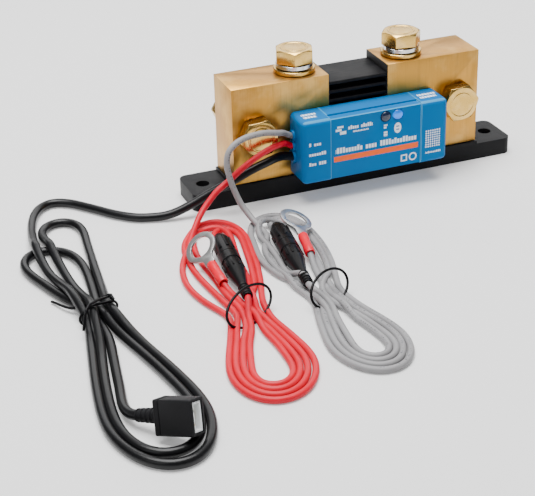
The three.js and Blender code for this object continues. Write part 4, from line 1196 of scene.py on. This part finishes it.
def make_fasteners(side, name):
    low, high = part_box(f"{name}_top_bolt")
    centre = middle(f"{name}_top_flat_washer")
    centre.z = 0
    head_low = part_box(f"{name}_top_spring_washer")[1].z + SPRING_CLEAR
    make_bolt(f"{name}_top", low.z, head_low, high.z, (centre, UP, side * 0.35 + 0.5236))
    make_washers(f"{name}_top", 2, centre, UP, 2.4 + side)
    low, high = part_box(f"{name}_side_bolt")
    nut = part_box(f"{name}_side_nut")
    centre = middle(f"{name}_side_nut")
    centre.y = 0
    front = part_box(f"{name}_block")[0].y - 0.3 * MM
    make_bolt(f"{name}_side", -high.y, -front, -low.y, (centre, FORWARD, 0.1))
    make_washers(f"{name}_side", 1, centre, REARWARD, 1.0)
    bore = turned("bore", [(0, -MM), (NUT_BORE_R, -MM), (NUT_BORE_R, 0.03), (0, 0.03)], 40)
    bore.transform(Matrix.Translation((0, 0, nut[0].y - 2 * MM)))
    hexagon = chamfered_hexagon(HEAD_FLATS, nut[0].y, nut[1].y, True, True)
    hex_nut = moved(combined("nut", hexagon, [bore]), centre, REARWARD, 0.1)
    piece(f"{name}_side_hex_nut", hex_nut, "passivated", f"{name}_side_nut")


SLOT_COVER = 0.25 * MM            # brass left in front of the plates' sawn seats


def block_mesh(name):
    """The block, with its seats for the plates closed off at the front and rear faces."""
    low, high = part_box(name)
    inner, outward = (low.x, 1) if low.x > 0 else (high.x, -1)
    plates = [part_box(f"resistor_plate_{number}") for number in (1, 7)]
    seat = 4.2 * MM
    shape = solid_of(name)
    slabs = []
    for face, back in ((low.y, low.y + SLOT_COVER), (high.y - SLOT_COVER, high.y)):
        ends = sorted((inner, inner + outward * seat))
        slabs.append(box_mesh("slab", (ends[0], face, plates[1][0].z - MM),
                              (ends[1], back, plates[0][1].z + MM)))
    return bevelled(name, flat_sides(combined(name, shape, slabs, "UNION")), 0.3 * MM, 2, 50)


def softened_piece(name, node, finish, edge, segments=2, angle=50, smooth=35):
    """A piece that is its CAD node's own solid with its edges rounded."""
    piece(name, bevelled(name, solid_of(node), edge, segments, angle), finish, node, smooth=smooth)


def make_base_and_blocks():
    softened_piece("insulating_base", "base", "base", 0.7 * MM, 3, 40)
    for side, name in ((-1, "load"), (1, "battery")):
        piece(f"{name}_brass_block", block_mesh(f"{name}_block"), "brass", f"{name}_block")
        make_fasteners(side, name)
        for number in (1, 2):
            node = f"{name}_base_screw_{number}"
            softened_piece(f"{name}_base_pan_screw_{number}", node, "steel", 0.15 * MM)
    for number in range(1, 8):
        softened_piece(f"shunt_plate_{number}", f"resistor_plate_{number}", "plates", 0.18 * MM)


# ---------- sensing housing ----------
def make_housing():
    softened_piece("sensing_housing", "housing_shell", "printed_blue", 0.22 * MM, smooth=40)
    softened_piece("housing_rear_cover", "housing_back_cover", "blue", 0.3 * MM)
    softened_piece("circuit_board_with_parts", "circuit_board", "board", 0.1 * MM, 1)
    softened_piece("lead_outlet_strip", "lead_grommet", "blue", 0.25 * MM)
    for name in ("load", "battery"):
        softened_piece(f"{name}_sense_pan_screw", f"{name}_sense_screw", "steel", 0.12 * MM)
    for node, finish in (("status_lens", "dark_lens"), ("radio_lens", "lit_lens")):
        low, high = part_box(node)
        radius = (high.x - low.x) / 2
        centre = middle(node)
        centre.y = 0
        face = -low.y
        back = -high.y
        dome = [(0, back), (radius, back), (radius, face - 1.1 * MM)]
        dome += [(radius * math.cos(a), face - 1.1 * MM + 1.1 * MM * math.sin(a))
                 for a in np.linspace(0.12, math.pi / 2 - 0.12, 8)]
        dome += [(0, face)]
        lens = moved(turned("dome", dome, 48), centre, FORWARD)
        piece(node.replace("lens", "light_lens"), lens, finish, node)


# ---------- in-line fuse holders and ring terminals ----------
HOLDER_R = 4.7 * MM
HOLDER_END_R = 2.4 * MM


def make_holder(name, tail, head):
    tail, head = Vector(tail), Vector(head)
    place = aimed(tail, head - tail)
    body_end, cap_start, end = 36 * MM, 36.3 * MM, 56.3 * MM
    rib = 0.35 * MM
    neck = [(1.5 * MM, 0.0), (HOLDER_END_R - rib, 0.0)]
    for step in range(4):
        at = (1.0 + step * 2.2) * MM
        neck += [(HOLDER_END_R - rib, at), (HOLDER_END_R, at + 0.3 * MM), (HOLDER_END_R, at + 1.1 * MM),
                 (HOLDER_END_R - rib, at + 1.4 * MM)]
    slope = [(HOLDER_END_R - rib, 10 * MM), (HOLDER_R - 0.5 * MM, 21.5 * MM),
             (HOLDER_R - 0.5 * MM, body_end - 6.5 * MM), (HOLDER_R, body_end - 6 * MM),
             (HOLDER_R, body_end), (3.4 * MM, body_end),
             (3.4 * MM, body_end - 10.3 * MM), (1.5 * MM, body_end - 10.3 * MM)]
    body = turned("body", neck + slope, 48)
    fin = box_mesh("fin", (-0.45 * MM, -0.45 * MM, 22.5 * MM), (0.4 * MM, 0.45 * MM, 29 * MM))
    fin = bevelled("fin", fin, 0.2 * MM)
    fins = ribbed("fins", painted(fin, "holder"), 10, HOLDER_R - 0.45 * MM, "holder")
    whole = joined("body", painted(body, "holder"), fins)
    whole.transform(place)
    piece(f"{name}_fuse_holder_body", whole, None, f"{name}_fuse_body")
    cap = [(3.4 * MM, cap_start), (HOLDER_R, cap_start), (HOLDER_R, cap_start + 2.5 * MM),
           (HOLDER_R - 0.45 * MM, cap_start + 3 * MM), (HOLDER_R - 0.45 * MM, end - 5.5 * MM),
           (HOLDER_END_R + 0.8 * MM, end - 1.8 * MM), (HOLDER_END_R, end - 0.8 * MM), (HOLDER_END_R, end),
           (1.5 * MM, end), (1.5 * MM, end - 6 * MM), (3.4 * MM, end - 6 * MM)]
    turned_cap = turned("cap", cap, 48)
    grip = bevelled("grip", box_mesh("grip", (-0.5 * MM, -0.6 * MM, cap_start + 4 * MM),
                                     (0.4 * MM, 0.6 * MM, end - 6 * MM)), 0.2 * MM)
    grips = ribbed("grips", painted(grip, "holder"), 8, HOLDER_R - 0.4 * MM, "holder")
    whole = joined("cap", painted(turned_cap, "holder"), grips)
    whole.transform(place)
    piece(f"{name}_fuse_holder_cap", whole, None, f"{name}_fuse_cap")
    centre, radius, half = 36.15 * MM, 3 * MM, 10 * MM
    tube = turned("tube", [(0, centre - half + 5 * MM), (radius - 0.3 * MM, centre - half + 5 * MM),
                           (radius - 0.3 * MM, centre + half - 5 * MM), (0, centre + half - 5 * MM)], 32)
    caps = [turned("end", [(0, centre + low), (radius - 0.3 * MM, centre + low),
                           (radius, centre + low + 0.3 * MM), (radius, centre + high - 0.3 * MM),
                           (radius - 0.3 * MM, centre + high), (0, centre + high)], 32)
            for low, high in ((-half, -half + 5 * MM), (half - 5 * MM, half))]
    fuse = joined("fuse", painted(tube, "glass"), *[painted(cap, "tin") for cap in caps])
    fuse.transform(place)
    piece(f"{name}_glass_fuse", fuse, None, f"{name}_fuse")
    coil_low, coil_high = centre + half + 0.65 * MM, centre + 14 * MM - 0.7 * MM
    coil = helix("coil", 2.3 * MM, coil_high - coil_low, 3.5, 0.33 * MM, 8, "steel")
    coil.transform(place @ Matrix.Translation((0, 0, coil_low)))
    piece(f"{name}_contact_spring", coil, None, f"{name}_fuse_spring", smooth=60)


def terminal_place(eye, normal, wireward):
    z = Vector(normal).normalized()
    y = -Vector(wireward)
    y = (y - z * y.dot(z)).normalized()
    x = y.cross(z)
    return Matrix.Translation(eye) @ Matrix((x, y, z)).transposed().to_4x4()


def extruded(name, outlines, low, high):
    """A plate with holes: the first outline is its edge, and the rest are holes."""
    def build(shape):
        flat = tessellate_polygon([[Vector((x, y, 0)) for x, y in outline] for outline in outlines])
        places = [point for outline in outlines for point in outline]
        bottom = [shape.verts.new((x, y, low)) for x, y in places]
        top = [shape.verts.new((x, y, high)) for x, y in places]
        for triangle in flat:
            shape.faces.new([top[index] for index in triangle])
            shape.faces.new([bottom[index] for index in reversed(triangle)])
        start = 0
        for outline in outlines:
            count = len(outline)
            for index in range(count):
                after = (index + 1) % count
                shape.faces.new((bottom[start + index], bottom[start + after], top[start + after],
                                 top[start + index]))
            start += count
    mesh = mesh_from(name, build)
    return flat_sides(mesh)


def arc(radius, start, end, steps, centre=(0, 0)):
    angles = [start + (end - start) * step / steps for step in range(steps + 1)]
    return [(centre[0] + radius * math.cos(a), centre[1] + radius * math.sin(a)) for a in angles]


EYE_R, EYE_HOLE_R, TONGUE_LENGTH, TONGUE_WIDTH = 7.75 * MM, 5.25 * MM, 12.5 * MM, 5 * MM
SLEEVE_R, SLEEVE_LENGTH = 2.3 * MM, 14 * MM


def make_terminal(name, eye, normal, wireward):
    place = terminal_place(eye, normal, wireward)
    lead = math.asin(TONGUE_WIDTH / 2 / EYE_R) + 0.22
    foot = -TONGUE_LENGTH + 0.3 * MM
    half = TONGUE_WIDTH / 2
    edge = arc(EYE_R, -math.pi / 2 + lead, math.pi * 1.5 - lead, 56)
    last = edge[-1]
    fillet_left = [(-half - (abs(last[0]) - half) * (1 - t) ** 2, last[1] + (-EYE_R - 1.2 * MM - last[1]) * t)
                   for t in (0.33, 0.66, 1.0)]
    fillet_right = [(-x, y) for x, y in reversed(fillet_left)]
    outline = edge + fillet_left + [(-half, foot), (half, foot)] + fillet_right
    hole = arc(EYE_HOLE_R, 0, 2 * math.pi, 48)[:-1]
    blank = bevelled("blank", extruded("blank", [outline, hole], -0.5 * MM, 0.5 * MM), 0.16 * MM, 2, 40)
    blank.transform(place)
    piece(f"{name}_ring_terminal", blank, "tin", f"{name}_terminal")
    shape = [(0.0, 0.0), (SLEEVE_R - 0.5 * MM, 0.0), (SLEEVE_R - 0.1 * MM, 0.25 * MM), (SLEEVE_R, 0.8 * MM),
             (SLEEVE_R, 4.0 * MM), (SLEEVE_R - 0.16 * MM, 5.2 * MM), (SLEEVE_R - 0.16 * MM, 8 * MM),
             (SLEEVE_R, 9.2 * MM), (SLEEVE_R, SLEEVE_LENGTH - 0.4 * MM),
             (SLEEVE_R - 0.2 * MM, SLEEVE_LENGTH), (SLEEVE_R - 0.7 * MM, SLEEVE_LENGTH),
             (SLEEVE_R - 0.8 * MM, SLEEVE_LENGTH - 1.5 * MM), (0.0, SLEEVE_LENGTH - 1.5 * MM)]
    sleeve = turned("sleeve", shape, 40)
    sleeve.transform(Matrix.Rotation(math.radians(90), 4, "X"))
    sleeve.transform(Matrix.Translation((0, -TONGUE_LENGTH, 0)))
    sleeve.transform(place)
    piece(f"{name}_crimp_sleeve", sleeve, "sleeve", f"{name}_terminal_sleeve", smooth=50)


# ---------- data plug ----------
def plug_place():
    x = Vector((0.618, -0.74, 0.267)).normalized()
    y = Vector((0.073, 0.391, 0.917))
    y = (y - x * y.dot(x)).normalized()
    z = x.cross(y)
    centre = Vector((-159.5, -185.1, 3)) * MM + y * 6.75 * MM - z * 4.15 * MM
    return Matrix.Translation(centre) @ Matrix((x, y, z)).transposed().to_4x4()


def make_plug():
    place = plug_place()
    length, width, thick = 17.2 * MM, 13.5 * MM, 8.3 * MM
    shell = bevelled("shell", box_mesh("shell", (0, -width / 2, -thick / 2), (length, width / 2, thick / 2)),
                     0.8 * MM, 4)
    pocket = box_mesh("pocket", (length - 8.3 * MM, -5.8 * MM, -2.8 * MM), (length + MM, 5.8 * MM, 2.8 * MM))
    groove = box_mesh("groove", (2.6 * MM, -width, -thick), (3.0 * MM, width, thick))
    core = box_mesh("core", (2 * MM, -width / 2 + 0.25 * MM, -thick / 2 + 0.25 * MM),
                    (3.6 * MM, width / 2 - 0.25 * MM, thick / 2 - 0.25 * MM))
    seam = combined("seam", groove, [core])
    body = combined("plug", shell, [pocket, seam])
    body.transform(place)
    piece("data_plug_shell", bevelled("plug", flat_sides(body), 0.1 * MM, 2, 60), "plug", "data_plug_body")
    radius, reach = 3 * MM, 10 * MM
    profile = [(0, 0.3 * MM), (radius, 0.3 * MM)]
    for step in range(4):
        at = (1.4 + step * 2.2) * MM
        size = radius - 0.1 * MM * step
        profile += [(size, at), (size - 0.5 * MM, at + 0.3 * MM), (size - 0.5 * MM, at + 1.0 * MM),
                    (size - 0.08 * MM, at + 1.3 * MM)]
    profile += [(radius - 0.45 * MM, reach - 0.2 * MM), (radius - 0.65 * MM, reach), (0, reach)]
    boot = turned("boot", profile, 40)
    boot.transform(Matrix.Rotation(math.radians(-90), 4, "Y"))
    boot.transform(place)
    piece("data_plug_strain_boot", boot, "plug", "data_plug_boot")
    low = Vector((length - 8 * MM, -5.5 * MM, -2.5 * MM))
    high = Vector((length - 0.4 * MM, 5.5 * MM, 2.5 * MM))
    insert = box_mesh("insert", low, high)
    mouth = box_mesh("mouth", (low.x + 1.5 * MM, low.y + 0.8 * MM, low.z + 0.8 * MM),
                     (high.x + MM, high.y - 0.8 * MM, high.z - 0.8 * MM))
    keys = [box_mesh("key", (high.x - 4 * MM, y - 0.5 * MM, high.z - 1.4 * MM),
                     (high.x + MM, y + 0.5 * MM, high.z + MM)) for y in (-2.4 * MM, 2.4 * MM)]
    white = bevelled("insert", flat_sides(combined("insert", insert, [mouth, *keys])), 0.12 * MM, 2, 50)
    pin = bevelled("pin", box_mesh("pin", (low.x + 1 * MM, -3.3 * MM, -0.25 * MM),
                                   (high.x - 1.6 * MM, -2.8 * MM, 0.25 * MM)), 0.1 * MM)
    pins = grown("pins", bpy.data.objects.new("pin_carrier", painted(pin, "gold")), ROW,
                 {"Count": 4, "Step": (0.0, 2.03 * MM, 0.0), "Material": finishes["gold"]})
    whole = joined("socket", painted(white, "white"), pins)
    whole.transform(place)
    piece("data_plug_contact_block", whole, None, "data_plug_socket")


# ---------- twist ties ----------
def hull(points):
    """Corners of the convex hull of flat points, anticlockwise."""
    points = sorted(set(points))

    def half(ordered):
        chain = []
        for point in ordered:
            while len(chain) > 1 and ((chain[-1][0] - chain[-2][0]) * (point[1] - chain[-2][1])
                                      - (chain[-1][1] - chain[-2][1]) * (point[0] - chain[-2][0])) <= 0:
                chain.pop()
            chain.append(point)
        return chain[:-1]
    return half(points) + half(points[::-1])


TIE_WIRE = 1.2 * MM


def make_tie(name, line, radius, tie, lean, tails):
    """A coated wire drawn round the strands that pass near `tie`, twisted on top and with two loose tails."""
    strands = [point for point in line
               if abs(point[1] - tie[1]) < 1.2 * MM and abs(point[0] - tie[0]) < 14 * MM]
    spread = radius + TIE_WIRE / 2 + 0.05 * MM
    rim = []
    for point in strands:
        for step in range(16):
            angle = 2 * math.pi * step / 16
            rim.append((round(point[0] + spread * math.cos(angle), 6),
                        round(point[2] + spread * math.sin(angle), 6)))
    loop = hull(rim)
    loop = [(x, max(z, TIE_WIRE / 2)) for x, z in loop]
    top = max(range(len(loop)), key=lambda index: loop[index][1] + 0.3 * loop[index][0])
    loop = loop[top:] + loop[:top]
    centre_x = sum(x for x, _ in loop) / len(loop)
    path = [(x, tie[1] + lean * (x - centre_x), z) for x, z in loop]
    path = smooth_path([*path, path[0]], 0.6 * MM)
    band = sheath("band", [Vector(point) for point in path], TIE_WIRE, 10, "tie")
    knot = Vector(path[0])
    twist = []
    for phase in (0, math.pi):
        points = [knot + Vector((0.45 * MM * math.cos(phase + step * 0.9), 0.5 * MM * step,
                                 TIE_WIRE / 2 + 0.45 * MM * math.sin(phase + step * 0.9)))
                  for step in range(9)]
        twist.append(points)
    parts = [band]
    for points, tail in zip(twist, tails):
        whole = [tuple(point) for point in points] + [tuple(Vector(place)) for place in tail]
        parts.append(sheath("tail", smooth_path(whole, 0.7 * MM), TIE_WIRE, 10, "tie"))
    piece(f"{name}_twist_tie", joined("tie", *parts), None, f"{name}_tie", smooth=60)


def make_hoop(name, centre, across, rise):
    """A coated wire bent into a loose oval hoop that stands round its hank and rests on the floor."""
    centre, across, rise = Vector(centre), Vector(across), Vector(rise)
    ring = []
    for step in range(40):
        angle = 2 * math.pi * step / 40 - math.pi / 2
        point = centre + across * math.cos(angle) + rise * math.sin(angle)
        ring.append((point.x, point.y, max(point.z, TIE_WIRE / 2)))
    wire = sheath("hoop", smooth_path([*ring, ring[0]], 0.6 * MM), TIE_WIRE, 10, "tie")
    piece(f"{name}_twist_tie", wire, None, f"{name}_tie", smooth=60)


make_base_and_blocks()
make_housing()
make_holder("red", red_tail, red_head)
make_holder("grey", grey_tail, grey_head)
make_terminal("red", (-0.0996, -0.0638, 0.009), (-0.66, -0.165, 0.733), (0.04, -0.98, -0.19))
make_terminal("grey", (-0.0510, -0.0553, 0.0088), (0.343, -0.2, 0.918), (-0.139, -0.965, -0.158))
make_plug()
make_tie("data", cord_lines["data"], DATA_D / 2, data_tie, 0.15,
         [[(-0.1620, -0.0830, 0.0030), (-0.1690, -0.0700, 0.0010)],
          [(-0.1600, -0.0980, 0.0110), (-0.1640, -0.1040, 0.0040)]])
for name, shape in hoops.items():
    make_hoop(name, *shape)

for name, diameter, length in (("data", DATA_D, DATA_LENGTH), ("red", WIRE_D, RED_LENGTH),
                               ("grey", WIRE_D, GREY_LENGTH)):
    line = cord_lines[name]
    mesh = sheath(name + "_cable", line, diameter, 12, {"data": "black"}.get(name, name))
    cable = finished(name + "_cable", mesh, None, "root", [name + "_lead", name + "_hank"],
                     60)
